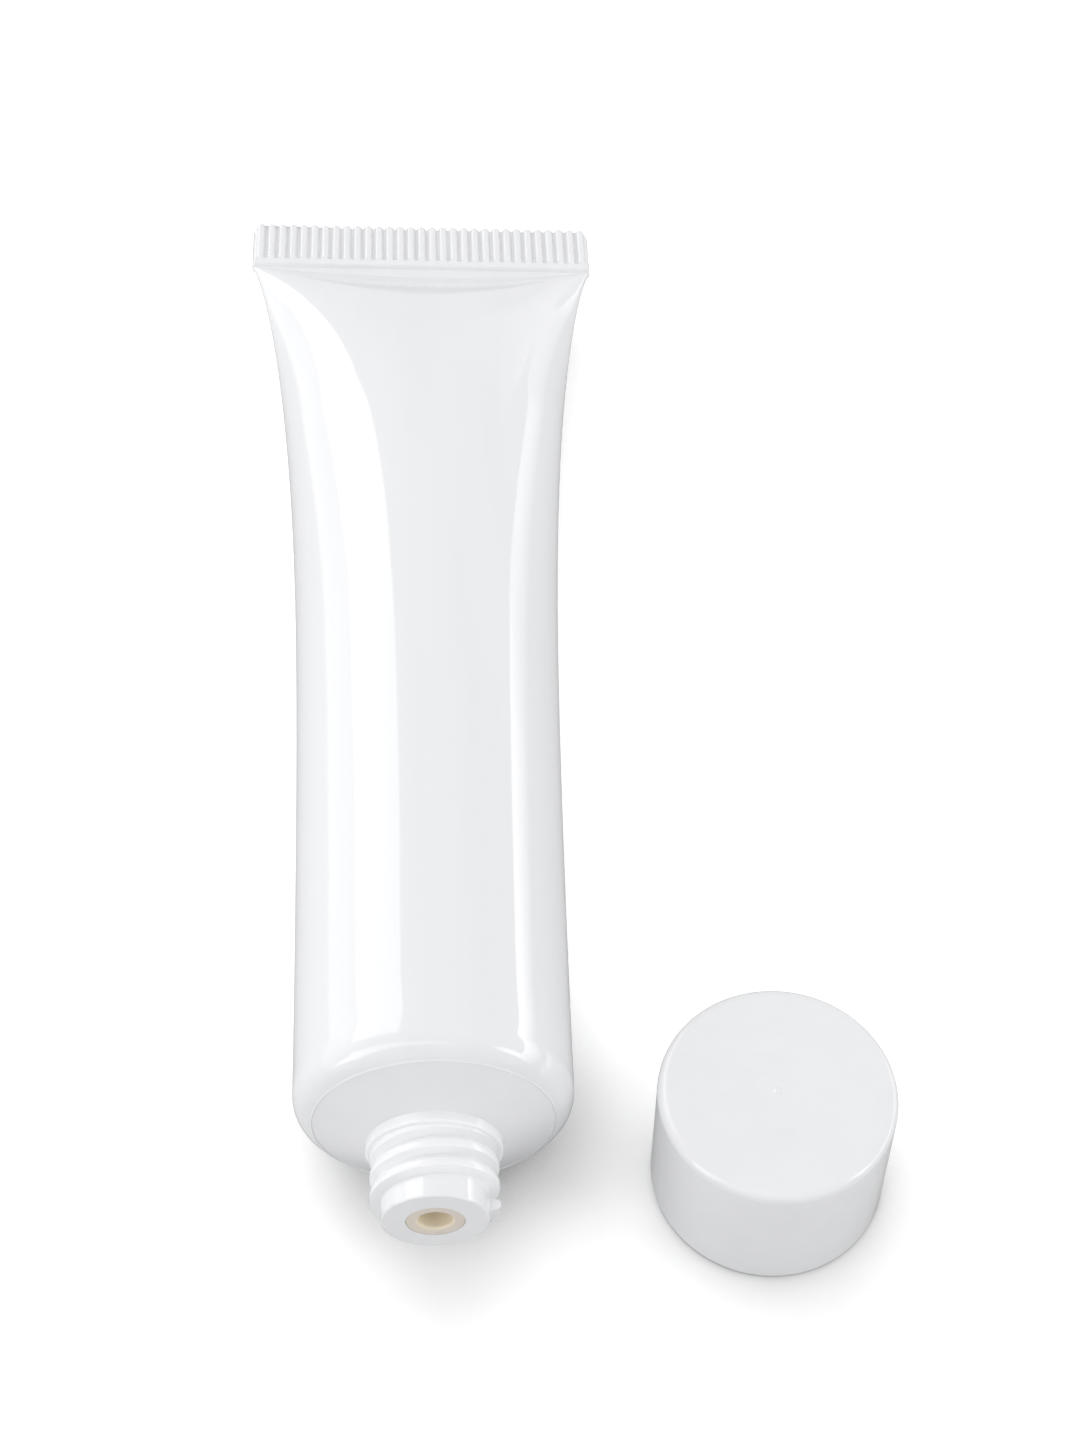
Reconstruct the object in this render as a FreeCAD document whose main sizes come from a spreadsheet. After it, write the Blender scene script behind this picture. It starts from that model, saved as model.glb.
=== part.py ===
"""A 40 ml cosmetic squeeze tube lying on its side, with its screw cap off and standing beside it.

Frame: millimetres, +Z up, standing on Z = 0, origin at the middle of the bounding box's base.
The tube's axis runs along Y: the neck points to -Y and the flat sealed tail to +Y.
The cap stands on its mouth at +X.  Four pieces: sleeve, head, orifice_insert and cap.
"""
import FreeCAD, Part
import os
import re

import Sketcher

DOC = FreeCAD.newDocument("SqueezeTube")

# ---------------------------------------------------------------- driving sizes
SIZES = [
    # sleeve: the extruded tube wall, pressed flat and heat sealed at the tail
    ("tube_diameter", 25.0),
    ("sleeve_wall", 0.5),
    ("sleeve_length", 107.4),
    ("resting_share", 0.5),
    ("early_flattening", 0.3),
    ("early_power", 1.3),
    ("late_power", 4.0),
    ("tail_roll", 3.5),
    ("seal_length", 7.0),
    ("seal_root", 0.3),
    ("seal_corner", 0.9),
    ("seal_margin", 0.3),
    ("rib_pitch", 1.25),
    ("rib_radius", 0.75),
    ("rib_length", 5.6),
    ("cavity_end_gap", 1.0),
    ("cavity_end_height", 0.5),
    # front of the sleeve, rolled over the head's shoulder
    ("bend_start", 1.3),
    ("bend_radius", 2.95),
    ("cone_angle", 25.0),
    ("weld_gap", 0.05),
    # head: one moulding with shoulder, collar and threaded neck
    ("skirt_length", 2.0),
    ("skirt_wall", 1.0),
    ("shoulder_wall", 1.3),
    ("collar_radius", 6.05),
    ("collar_length", 0.95),
    ("collar_edge", 0.2),
    ("neck_radius", 4.7),
    ("neck_length", 6.4),
    ("tip_edge", 0.2),
    ("thread_depth", 0.98),
    ("thread_crown", 0.08),
    ("thread_root_width", 1.4),
    ("thread_crest_width", 0.75),
    ("thread_pitch", 1.8),
    ("thread_turns", 3.2),
    ("thread_runout", 1.45),
    # orifice insert, pressed into the neck
    ("insert_radius", 2.55),
    ("insert_length", 6.0),
    ("insert_gap", 0.03),
    ("orifice_radius", 1.5),
    ("orifice_edge", 0.25),
    ("channel_radius", 1.9),
    # cap: one moulding with an outer skirt, an inner threaded socket and a ring that seals on the tip
    ("cap_radius", 10.6),
    ("cap_height", 15.0),
    ("cap_draft", 0.3),
    ("cap_wall", 1.2),
    ("cap_top", 1.5),
    ("cap_edge", 1.0),
    ("rim_edge", 0.25),
    ("socket_wall", 1.1),
    ("stem_wall", 1.2),
    ("stem_inset", 0.1),
    ("screw_clearance", 0.25),
    ("seat_clearance", 0.3),
    ("ridge_foot", 0.15),
    ("ridge_root_width", 0.95),
    ("ridge_crest_width", 0.35),
    ("cap_thread_turns", 2.0),
    ("dimple_radius", 4.6),
    ("dimple_depth", 0.16),
    ("gate_radius", 0.35),
    ("gate_height", 0.08),
    # where the loose cap stands
    ("cap_stand_off", 7.1),
    ("cap_setback", 3.4),
]

# Stations along the sleeve, as shares of its length, closer together where it bends fastest.
STATIONS = [0.0, 0.1, 0.2, 0.3, 0.4, 0.45, 0.5, 0.55, 0.6, 0.7, 0.8, 0.87, 0.93, 0.97, 1.0]

sizes = DOC.addObject("Spreadsheet::Sheet", "Sizes")
for row, (alias, value) in enumerate(SIZES, start=1):
    sizes.set(f"A{row}", alias)
    sizes.set(f"B{row}", str(value))
    sizes.setAlias(f"B{row}", alias)

# ---------------------------------------------------------------- sizes that follow from them
derived = DOC.addObject("Spreadsheet::Sheet", "Derived")


DERIVED = []


def derive(alias, formula):
    """Give the next row of the Derived sheet a formula and a name."""
    DERIVED.append(alias)
    row = len(DERIVED)
    derived.set(f"A{row}", alias)
    derived.set(f"B{row}", "=" + formula)
    derived.setAlias(f"B{row}", alias)


derive("tube_radius", "Sizes.tube_diameter / 2")
derive("seal_half_width", "pi * Sizes.tube_diameter / 4")
derive("seal_half_thick", "Sizes.sleeve_wall")

# Front bend and cone, in the head's own frame: radius, and distance forward of the shoulder
derive("bend_centre", "tube_radius - Sizes.bend_radius")
derive("bend_cos", "cos(90 - Sizes.cone_angle)")
derive("bend_sin", "sin(90 - Sizes.cone_angle)")
derive("cone_rise", "tan(Sizes.cone_angle)")
derive("witness_radius", "bend_centre + Sizes.bend_radius * bend_cos")
derive("witness_z", "Sizes.bend_start + Sizes.bend_radius * bend_sin")
derive("collar_z", "witness_z + (witness_radius - Sizes.collar_radius) * cone_rise")
derive("collar_top", "collar_z + Sizes.collar_length")
derive("tip_z", "collar_top + Sizes.neck_length")
derive("seat_bend_radius", "Sizes.bend_radius - Sizes.sleeve_wall - Sizes.weld_gap")
derive("skirt_radius", "tube_radius - Sizes.sleeve_wall - Sizes.weld_gap")
derive("skirt_bore", "skirt_radius - Sizes.skirt_wall")
derive("shoulder_drop", "Sizes.shoulder_wall / cos(Sizes.cone_angle)")
derive("insert_bore", "Sizes.insert_radius + Sizes.insert_gap")
derive("insert_seat_z", "tip_z - Sizes.insert_length")
derive("crest_radius", "Sizes.neck_radius + Sizes.thread_depth")
derive("thread_end_z", "tip_z - Sizes.thread_runout")

# Cap, in its own frame: rim at 0, top upward
derive("rim_radius", "Sizes.cap_radius + Sizes.cap_height * tan(Sizes.cap_draft)")
derive("rim_bore", "rim_radius - Sizes.cap_wall")
derive("top_bore", "Sizes.cap_radius - Sizes.cap_wall")
derive("ceiling_z", "Sizes.cap_height - Sizes.cap_top")
derive("seated_z", "witness_z + (witness_radius - rim_bore) * cone_rise + Sizes.seat_clearance")
derive("land_z", "tip_z - seated_z")
derive("socket_mouth_z", "max(collar_top - seated_z + Sizes.seat_clearance; 0.5)")
derive("socket_radius", "crest_radius + Sizes.screw_clearance")
derive("boss_radius", "socket_radius + Sizes.socket_wall")
derive("stem_radius", "Sizes.neck_radius - Sizes.tip_edge - Sizes.stem_inset")
derive("stem_bore", "stem_radius - Sizes.stem_wall")
derive("ridge_radius", "Sizes.neck_radius + Sizes.screw_clearance")
derive("ridge_z", "socket_mouth_z + Sizes.ridge_root_width")
derive("gate_foot_z", "Sizes.cap_height - Sizes.dimple_depth")
derive("gate_top_z", "gate_foot_z + Sizes.gate_height")

# Seal ribs
derive("rib_half_width", "sqrt(Sizes.rib_radius ^ 2 - seal_half_thick ^ 2)")
derive("rib_room", "2 * (seal_half_width - Sizes.seal_margin - rib_half_width)")
derive("rib_count", "floor(rib_room / Sizes.rib_pitch) + 1")
derive("rib_span", "(rib_count - 1) * Sizes.rib_pitch")

# Where the pieces stand before the origin is moved to the middle of the base
derive("cap_x", "tube_radius + Sizes.cap_stand_off + rim_radius")
derive("left_x", "-max(seal_half_width * cos(Sizes.tail_roll); tube_radius)")
derive("right_x", "max(cap_x + rim_radius; seal_half_width * cos(Sizes.tail_roll))")
derive("front_y", "min(-tip_z; -Sizes.cap_setback - rim_radius)")
derive("back_y", "Sizes.sleeve_length + Sizes.seal_length")
derive("axis_x", "-(left_x + right_x) / 2")
derive("shoulder_y", "-(front_y + back_y) / 2")

# Flattening: the wall's perimeter stays the same, so the section widens as it thins.
# The underside lies straight on the ground over resting_share of the length, then rises.
FLATNESS = (
    "( Sizes.early_flattening * {0} ^ Sizes.early_power"
    " + ( 1 - Sizes.early_flattening ) * {0} ^ Sizes.late_power )"
)
FLATNESS_RATE = (
    "( Sizes.early_flattening * Sizes.early_power * {0} ^ ( Sizes.early_power - 1 )"
    " + ( 1 - Sizes.early_flattening ) * Sizes.late_power * {0} ^ ( Sizes.late_power - 1 ) )"
)
rest = "Sizes.resting_share"
derive("thin_rate", "tube_radius - seal_half_thick")
derive("rest_share_left", f"sqrt(1 - {FLATNESS.format(rest)})")
derive("rest_dip", "tube_radius - seal_half_thick - thin_rate * rest_share_left")
derive(
    "rest_slope",
    f"thin_rate * {FLATNESS_RATE.format(rest)} / (2 * rest_share_left) * (1 - {rest})",
)
for number, share in enumerate(STATIONS):
    derive(f"thick_{number}", f"seal_half_thick + thin_rate * sqrt(1 - {FLATNESS.format(share)})")
    root = (
        f"(6 * Sizes.tube_diameter - 8 * thick_{number}) ^ 2 - 24 * (6 * thick_{number} ^ 2"
        f" - 6 * Sizes.tube_diameter * thick_{number} + Sizes.tube_diameter ^ 2)"
    )
    derive(f"wide_{number}", f"(6 * Sizes.tube_diameter - 8 * thick_{number} + sqrt({root})) / 12")
    derive(f"run_{number}", f"max(0; ({share} - Sizes.resting_share) / (1 - Sizes.resting_share))")
    hermite = (
        f"rest_dip * (1 + 2 * run_{number}) * (1 - run_{number}) ^ 2"
        f" + rest_slope * run_{number} * (1 - run_{number}) ^ 2"
    )
    derive(
        f"centre_{number}",
        f"{share} <= Sizes.resting_share ? thick_{number} : tube_radius - ({hermite})",
    )
DOC.recompute()


# ---------------------------------------------------------------- helpers
def plane_of(body, role):
    """Return one of the body's own origin planes or axes."""
    return [item for item in body.Origin.OriginFeatures if item.Role == role][0]


def long_form(formula):
    """Write out the sheet's name before each alias of the Derived sheet."""

    def full_name(match):
        return "Derived." + match.group() if match.group() in DERIVED else match.group()

    return re.sub(r"(?<![.\w])[a-z]\w*", full_name, formula)


def bind(item, path, formula):
    """Tie one property of an object to the sheets."""
    item.setExpression(path, long_form(formula))


def stand(item, x, y, z):
    """Place an object in the part's frame from three formulas."""
    bind(item, "Placement.Base.x", f"axis_x + {x}")
    bind(item, "Placement.Base.y", f"shoulder_y + {y}")
    bind(item, "Placement.Base.z", z)


def outline(body, name, corners):
    """Draw a closed outline in the body's XZ plane.

    Each corner is (x, z) or (x, z, radius, side): with a radius the edge that leaves the corner
    is an arc, whose centre is on the left of the way to the next corner for side 1, on the
    right for side -1.
    """
    sketch = body.newObject("Sketcher::SketchObject", name)
    sketch.AttachmentSupport = [(plane_of(body, "XZ_Plane"), "")]
    sketch.MapMode = "FlatFace"
    values = [[float(sketch.evalExpression(long_form(text))) for text in corner[:2]] for corner in corners]
    points = [FreeCAD.Vector(x, z, 0) for x, z in values]
    for index, corner in enumerate(corners):
        start, end = points[index], points[(index + 1) % len(points)]
        if len(corner) == 2:
            sketch.addGeometry(Part.LineSegment(start, end), False)
            continue
        radius = float(sketch.evalExpression(long_form(corner[2])))
        sketch.addGeometry(arc_between(start, end, radius, corner[3]), False)
    for index, corner in enumerate(corners):
        following = (index + 1) % len(corners)
        leaving = 2 if len(corner) == 2 or corner[3] == 1 else 1
        arriving = 1 if len(corners[following]) == 2 or corners[following][3] == 1 else 2
        sketch.addConstraint(Sketcher.Constraint("Coincident", index, leaving, following, arriving))
    for index, corner in enumerate(corners):
        first = 1 if len(corner) == 2 or corner[3] == 1 else 2
        for kind, axis, text, value in zip(("DistanceX", "DistanceY"), "xz", corner[:2], values[index]):
            number = sketch.addConstraint(Sketcher.Constraint(kind, -1, 1, index, first, value))
            sketch.renameConstraint(number, f"{axis}_{index}")
            bind(sketch, f"Constraints.{axis}_{index}", text)
        if len(corner) > 2:
            radius = float(sketch.evalExpression(long_form(corner[2])))
            number = sketch.addConstraint(Sketcher.Constraint("Radius", index, radius))
            sketch.renameConstraint(number, f"radius_{index}")
            bind(sketch, f"Constraints.radius_{index}", corner[2])
    return sketch


def arc_between(start, end, radius, side):
    """Return the short arc from start to end; side 1 turns anticlockwise, -1 clockwise."""
    chord = end - start
    half = chord.Length / 2
    normal = FreeCAD.Vector(-chord.y, chord.x, 0).normalize()
    centre = (start + end) * 0.5 + normal * (side * max(radius**2 - half**2, 0) ** 0.5)
    circle = Part.Circle(centre, FreeCAD.Vector(0, 0, 1), radius)
    first, last = (start, end) if side == 1 else (end, start)
    return Part.ArcOfCircle(circle, circle.parameter(first), circle.parameter(last))


def turn(body, name, corners):
    """Revolve an outline once round the body's own Z axis."""
    feature = body.newObject("PartDesign::Revolution", name)
    feature.Profile = outline(body, name + "_outline", corners)
    feature.ReferenceAxis = (plane_of(body, "Z_Axis"), [""])
    feature.Angle = 360
    return feature


def wind(body, name, corners, pitch, turns, downward):
    """Add a helical ridge round the body's own Z axis."""
    feature = body.newObject("PartDesign::AdditiveHelix", name)
    feature.Profile = outline(body, name + "_outline", corners)
    feature.ReferenceAxis = (plane_of(body, "Z_Axis"), [""])
    feature.Mode = "pitch-turns-angle"
    feature.Angle = 0
    feature.Reversed = downward
    bind(feature, "Pitch", pitch)
    bind(feature, "Turns", turns)
    return feature


FORWARD = FreeCAD.Rotation(FreeCAD.Vector(1, 0, 0), 90)  # a piece's own +Z to -Y, the neck's way
BACKWARD = FreeCAD.Rotation(FreeCAD.Vector(1, 0, 0), -90)  # a piece's own +Z to +Y, the tail's way
ROLL = FreeCAD.Rotation(FreeCAD.Vector(0, 1, 0), sizes.tail_roll)  # the flat tail's lean to one side


# ---------------------------------------------------------------- sleeve
def skin(name, numbers, inset):
    """Loft one skin of the sleeve through its elliptical stations."""
    rings = []
    for number in numbers:
        ring = DOC.addObject("Part::Ellipse", f"{name}_ring_{number}")
        ring.Placement.Rotation = ROLL * FORWARD
        bind(ring, "MajorRadius", f"max( wide_{number} ; thick_{number} ) - {inset}")
        bind(ring, "MinorRadius", f"thick_{number} - {inset}")
        stand(ring, "0", f"{STATIONS[number]} * Sizes.sleeve_length", f"centre_{number}")
        rings.append(ring)
    front = DOC.addObject("Part::Ellipse", f"{name}_front_ring")
    front.Placement.Rotation = ROLL * FORWARD
    bind(front, "MajorRadius", f"tube_radius - {inset}")
    bind(front, "MinorRadius", f"tube_radius - {inset}")
    stand(front, "0", "-Sizes.bend_start", "tube_radius")
    loft = DOC.addObject("Part::Loft", name)
    loft.Solid = True
    return loft, [front] + rings


outer_skin, outer_rings = skin("outer_skin", range(len(STATIONS)), "0")
outer_skin.Sections = outer_rings

inner_skin, inner_rings = skin("inner_skin", range(len(STATIONS) - 1), "Sizes.sleeve_wall")
last = len(STATIONS) - 1
closing = DOC.addObject("Part::Ellipse", "inner_skin_closing_ring")
closing.Placement.Rotation = ROLL * FORWARD
bind(closing, "MajorRadius", f"wide_{last} - 2 * Sizes.sleeve_wall")
bind(closing, "MinorRadius", "Sizes.cavity_end_height / 2")
stand(closing, "0", "Sizes.sleeve_length - Sizes.cavity_end_gap", f"centre_{last}")
inner_skin.Sections = inner_rings + [closing]

# The sealed tail: a flat double wall with a row of round-ended ribs pressed into both faces
seal = DOC.addObject("PartDesign::Body", "Seal")
seal.Placement.Rotation = ROLL * BACKWARD
stand(seal, "0", "Sizes.sleeve_length", f"centre_{last}")
slab = seal.newObject("PartDesign::Pad", "SealSlab")
slab.Profile = outline(seal, "SealSlab_outline", [
    ("-seal_half_width", "Sizes.seal_root"),
    ("-seal_half_width + 2 * Sizes.seal_root", "-Sizes.seal_root"),
    ("seal_half_width - 2 * Sizes.seal_root", "-Sizes.seal_root"),
    ("seal_half_width", "Sizes.seal_root"),
    ("seal_half_width", "Sizes.seal_length - Sizes.seal_corner", "Sizes.seal_corner", 1),
    ("seal_half_width - Sizes.seal_corner", "Sizes.seal_length"),
    ("-seal_half_width + Sizes.seal_corner", "Sizes.seal_length", "Sizes.seal_corner", 1),
    ("-seal_half_width", "Sizes.seal_length - Sizes.seal_corner"),
])
slab.Midplane = True
bind(slab, "Length", "2 * seal_half_thick")
rib = seal.newObject("PartDesign::Revolution", "Rib")
rib.Profile = outline(seal, "Rib_outline", [
    ("0", "Sizes.seal_length - Sizes.rib_length", "Sizes.rib_radius", 1),
    ("Sizes.rib_radius", "Sizes.seal_length - Sizes.rib_length + Sizes.rib_radius"),
    ("Sizes.rib_radius", "Sizes.seal_length"),
    ("0", "Sizes.seal_length"),
])
bind(rib.Profile[0], "AttachmentOffset.Base.x", "-rib_span / 2")
rib.ReferenceAxis = (rib.Profile[0], ["V_Axis"])
rib.Angle = 360
seal.Tip = rib
DOC.recompute()
rib_row = seal.newObject("PartDesign::LinearPattern", "RibRow")
rib_row.Originals = [rib]
rib_row.Direction = (plane_of(seal, "X_Axis"), [""])
bind(rib_row, "Length", "rib_span")
bind(rib_row, "Occurrences", "rib_count")
seal.Tip = rib_row

# The front of the wall, rolled over the shoulder and trimmed square to the cone
curl = DOC.addObject("PartDesign::Body", "Curl")
curl.Placement.Rotation = FORWARD
stand(curl, "0", "0", "tube_radius")
inner_bend = "( Sizes.bend_radius - Sizes.sleeve_wall )"
turn(curl, "CurlRing", [
    ("tube_radius", "Sizes.bend_start", "Sizes.bend_radius", 1),
    ("witness_radius", "witness_z"),
    (f"bend_centre + {inner_bend} * bend_cos", f"Sizes.bend_start + {inner_bend} * bend_sin", inner_bend, -1),
    ("tube_radius - Sizes.sleeve_wall", "Sizes.bend_start"),
])

wall = DOC.addObject("Part::MultiFuse", "SleeveWall")
wall.Shapes = [outer_skin, seal]
hollow = DOC.addObject("Part::Cut", "SleeveHollow")
hollow.Base = wall
hollow.Tool = inner_skin
sleeve = DOC.addObject("Part::MultiFuse", "Sleeve")
sleeve.Shapes = [hollow, curl]
sleeve.Label = "sleeve"

# ---------------------------------------------------------------- head
head = DOC.addObject("PartDesign::Body", "Head")
head.Label = "head"
head.Placement.Rotation = FORWARD
stand(head, "0", "0", "tube_radius")
inner_cone = "witness_z + ( witness_radius - {} ) * cone_rise - shoulder_drop"
turn(head, "HeadTurned", [
    ("skirt_bore", "-Sizes.skirt_length"),
    ("skirt_radius", "-Sizes.skirt_length"),
    ("skirt_radius", "Sizes.bend_start", "seat_bend_radius", 1),
    ("bend_centre + seat_bend_radius * bend_cos", "Sizes.bend_start + seat_bend_radius * bend_sin"),
    (
        "bend_centre + seat_bend_radius * bend_cos - Sizes.weld_gap * bend_sin",
        "Sizes.bend_start + seat_bend_radius * bend_sin + Sizes.weld_gap * bend_cos",
    ),
    ("witness_radius - Sizes.weld_gap * bend_sin", "witness_z + Sizes.weld_gap * bend_cos"),
    ("Sizes.collar_radius", "collar_z"),
    ("Sizes.collar_radius", "collar_top - Sizes.collar_edge", "Sizes.collar_edge", 1),
    ("Sizes.collar_radius - Sizes.collar_edge", "collar_top"),
    ("Sizes.neck_radius", "collar_top"),
    ("Sizes.neck_radius", "tip_z - Sizes.tip_edge", "Sizes.tip_edge", 1),
    ("Sizes.neck_radius - Sizes.tip_edge", "tip_z"),
    ("insert_bore", "tip_z"),
    ("insert_bore", "insert_seat_z"),
    ("Sizes.channel_radius", "insert_seat_z"),
    ("Sizes.channel_radius", inner_cone.format("Sizes.channel_radius")),
    ("skirt_bore", inner_cone.format("skirt_bore")),
])
crown = "( ( Sizes.thread_crest_width / 2 ) ^ 2 + Sizes.thread_crown ^ 2 ) / ( 2 * Sizes.thread_crown )"
wind(head, "NeckThread", [
    ("Sizes.neck_radius - Sizes.ridge_foot", "thread_end_z - Sizes.thread_root_width / 2"),
    (
        "crest_radius - Sizes.thread_crown",
        "thread_end_z - Sizes.thread_crest_width / 2",
        crown,
        1,
    ),
    ("crest_radius - Sizes.thread_crown", "thread_end_z + Sizes.thread_crest_width / 2"),
    ("Sizes.neck_radius - Sizes.ridge_foot", "thread_end_z + Sizes.thread_root_width / 2"),
], "Sizes.thread_pitch", "Sizes.thread_turns", True)

# ---------------------------------------------------------------- orifice insert
insert = DOC.addObject("PartDesign::Body", "OrificeInsert")
insert.Label = "orifice_insert"
insert.Placement.Rotation = FORWARD
stand(insert, "0", "0", "tube_radius")
turn(insert, "InsertTurned", [
    ("Sizes.orifice_radius", "insert_seat_z"),
    ("Sizes.insert_radius", "insert_seat_z"),
    ("Sizes.insert_radius", "tip_z"),
    ("Sizes.orifice_radius + Sizes.orifice_edge", "tip_z", "Sizes.orifice_edge", 1),
    ("Sizes.orifice_radius", "tip_z - Sizes.orifice_edge"),
])

# ---------------------------------------------------------------- cap
cap = DOC.addObject("PartDesign::Body", "Cap")
cap.Label = "cap"
stand(cap, "cap_x", "-Sizes.cap_setback", "0")
turn(cap, "CapTurned", [
    ("rim_bore", "0"),
    ("rim_radius - Sizes.rim_edge", "0", "Sizes.rim_edge", 1),
    ("rim_radius", "Sizes.rim_edge"),
    ("Sizes.cap_radius", "Sizes.cap_height - Sizes.cap_edge", "Sizes.cap_edge", 1),
    ("Sizes.cap_radius - Sizes.cap_edge", "Sizes.cap_height"),
    ("Sizes.dimple_radius", "Sizes.cap_height"),
    ("Sizes.gate_radius", "gate_foot_z"),
    ("Sizes.gate_radius", "gate_top_z"),
    ("0", "gate_top_z"),
    ("0", "ceiling_z"),
    ("stem_bore", "ceiling_z"),
    ("stem_bore", "land_z"),
    ("stem_radius", "land_z"),
    ("stem_radius", "ceiling_z"),
    ("socket_radius", "ceiling_z"),
    ("socket_radius", "socket_mouth_z"),
    ("boss_radius", "socket_mouth_z"),
    ("boss_radius", "ceiling_z"),
    ("top_bore", "ceiling_z"),
])
wind(cap, "SocketThread", [
    ("socket_radius + Sizes.ridge_foot", "ridge_z + Sizes.ridge_root_width / 2"),
    ("ridge_radius", "ridge_z + Sizes.ridge_crest_width / 2"),
    ("ridge_radius", "ridge_z - Sizes.ridge_crest_width / 2"),
    ("socket_radius + Sizes.ridge_foot", "ridge_z - Sizes.ridge_root_width / 2"),
], "Sizes.thread_pitch", "Sizes.cap_thread_turns", False)

DOC.recompute()

# ---------------------------------------------------------------- checks and export
PIECES = [sleeve, head, insert, cap]

for item in DOC.Objects:
    if "Invalid" in item.State or "Error" in item.State:
        raise RuntimeError(f"{item.Name} failed: {item.State}")
for piece in PIECES:
    if piece.Shape.isNull() or not piece.Shape.isValid() or len(piece.Shape.Solids) != 1:
        raise RuntimeError(f"{piece.Label} is not one valid solid")

os.makedirs("parts", exist_ok=True)
for piece in PIECES:
    piece.Shape.exportStep(f"parts/{piece.Label}.step")
    box = piece.Shape.BoundBox
    print(
        f"{piece.Label}: {piece.Shape.Volume:.1f} mm3, "
        f"x {box.XMin:.2f}..{box.XMax:.2f}, y {box.YMin:.2f}..{box.YMax:.2f}, z {box.ZMin:.2f}..{box.ZMax:.2f}"
    )
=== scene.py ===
"""Looks, light and camera for a cosmetic squeeze tube that lies beside its screw cap.

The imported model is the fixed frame.  The sleeve, the insert and the cap are rebuilt here as fine,
smooth meshes in the places the frame gives them, and the head keeps its own mesh.  All four get
their finishes here.  Sizes of the pieces are in millimetres and are turned into metres only where a
mesh is made; the studio's places are in metres.
"""
import logging
import math
from dataclasses import dataclass
from enum import Enum

import bmesh
import bpy
import numpy as np
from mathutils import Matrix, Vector


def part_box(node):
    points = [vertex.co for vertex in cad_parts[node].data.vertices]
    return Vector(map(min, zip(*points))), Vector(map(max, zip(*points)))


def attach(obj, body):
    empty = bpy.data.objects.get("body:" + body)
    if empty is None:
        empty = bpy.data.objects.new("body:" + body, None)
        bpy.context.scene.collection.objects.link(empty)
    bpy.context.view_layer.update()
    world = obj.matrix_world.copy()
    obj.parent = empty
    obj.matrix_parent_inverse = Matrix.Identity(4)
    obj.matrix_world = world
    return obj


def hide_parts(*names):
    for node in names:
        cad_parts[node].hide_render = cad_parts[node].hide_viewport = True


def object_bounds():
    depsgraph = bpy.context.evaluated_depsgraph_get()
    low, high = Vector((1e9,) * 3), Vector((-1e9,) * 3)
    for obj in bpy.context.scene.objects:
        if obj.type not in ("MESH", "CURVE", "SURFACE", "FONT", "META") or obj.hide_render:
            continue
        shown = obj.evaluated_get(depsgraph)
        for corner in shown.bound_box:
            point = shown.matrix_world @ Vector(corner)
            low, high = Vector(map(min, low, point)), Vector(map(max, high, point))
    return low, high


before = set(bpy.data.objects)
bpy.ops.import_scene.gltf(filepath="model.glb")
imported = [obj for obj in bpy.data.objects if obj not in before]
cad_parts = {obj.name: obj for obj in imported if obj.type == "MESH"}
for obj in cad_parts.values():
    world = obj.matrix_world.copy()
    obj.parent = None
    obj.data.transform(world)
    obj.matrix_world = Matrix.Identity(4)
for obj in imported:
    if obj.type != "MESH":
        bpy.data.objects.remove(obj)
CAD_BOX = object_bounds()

Point = tuple[float, float]
Triple = tuple[float, float, float]
Rib = tuple[Triple, Triple, float, float]

MM = 0.001
TURN = 2 * math.pi
WELD = 1e-7
TINY = 1e-9
SHARP = math.radians(50)
PLASTIC_IOR = 1.5
BLACK = (0.0, 0.0, 0.0)
WHITE = (1.0, 1.0, 1.0, 1.0)
log = logging.getLogger("squeeze_tube")


# ------------------------------------------------------------------ outlines
class Way(Enum):
    """A direction along a turned outline, as (away from the axis, up the axis)."""

    OUT = (1, 0)
    IN = (-1, 0)
    UP = (0, 1)
    DOWN = (0, -1)


def circle(count: int) -> np.ndarray:
    """Return evenly spaced angles once round."""
    return np.linspace(0, TURN, count, endpoint=False)


def arc(centre: Point, radius: float, start: float, end: float, steps: int = 8) -> list[Point]:
    """Return points along an arc of a turned outline.

    Args:
        centre: distance from the axis and height of the arc's centre.
        radius: the arc's radius.
        start: direction of its first point, in degrees from outward, towards the top.
        end: direction of its last point.
        steps: number of chords.

    Returns:
        The points, as (distance from the axis, height).
    """
    angles = np.radians(np.linspace(start, end, steps + 1))
    return [(centre[0] + radius * math.cos(a), centre[1] + radius * math.sin(a)) for a in angles]


def run(start: Point, end: Point, steps: int) -> list[Point]:
    """Return evenly spaced points from start up to, but without, end."""
    shares = [step / steps for step in range(steps)]
    return [(start[0] + (end[0] - start[0]) * t, start[1] + (end[1] - start[1]) * t) for t in shares]


def cut(corner: Point, size: float, before: Way, after: Way) -> list[Point]:
    """Return the two points of a cut corner.

    Args:
        corner: where the corner would be.
        size: how much the cut takes of each side.
        before: direction from the corner to the side that comes first.
        after: direction from the corner to the next side.

    Returns:
        The points, in the outline's order.
    """
    return [(corner[0] + size * way.value[0], corner[1] + size * way.value[1]) for way in (before, after)]


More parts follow.
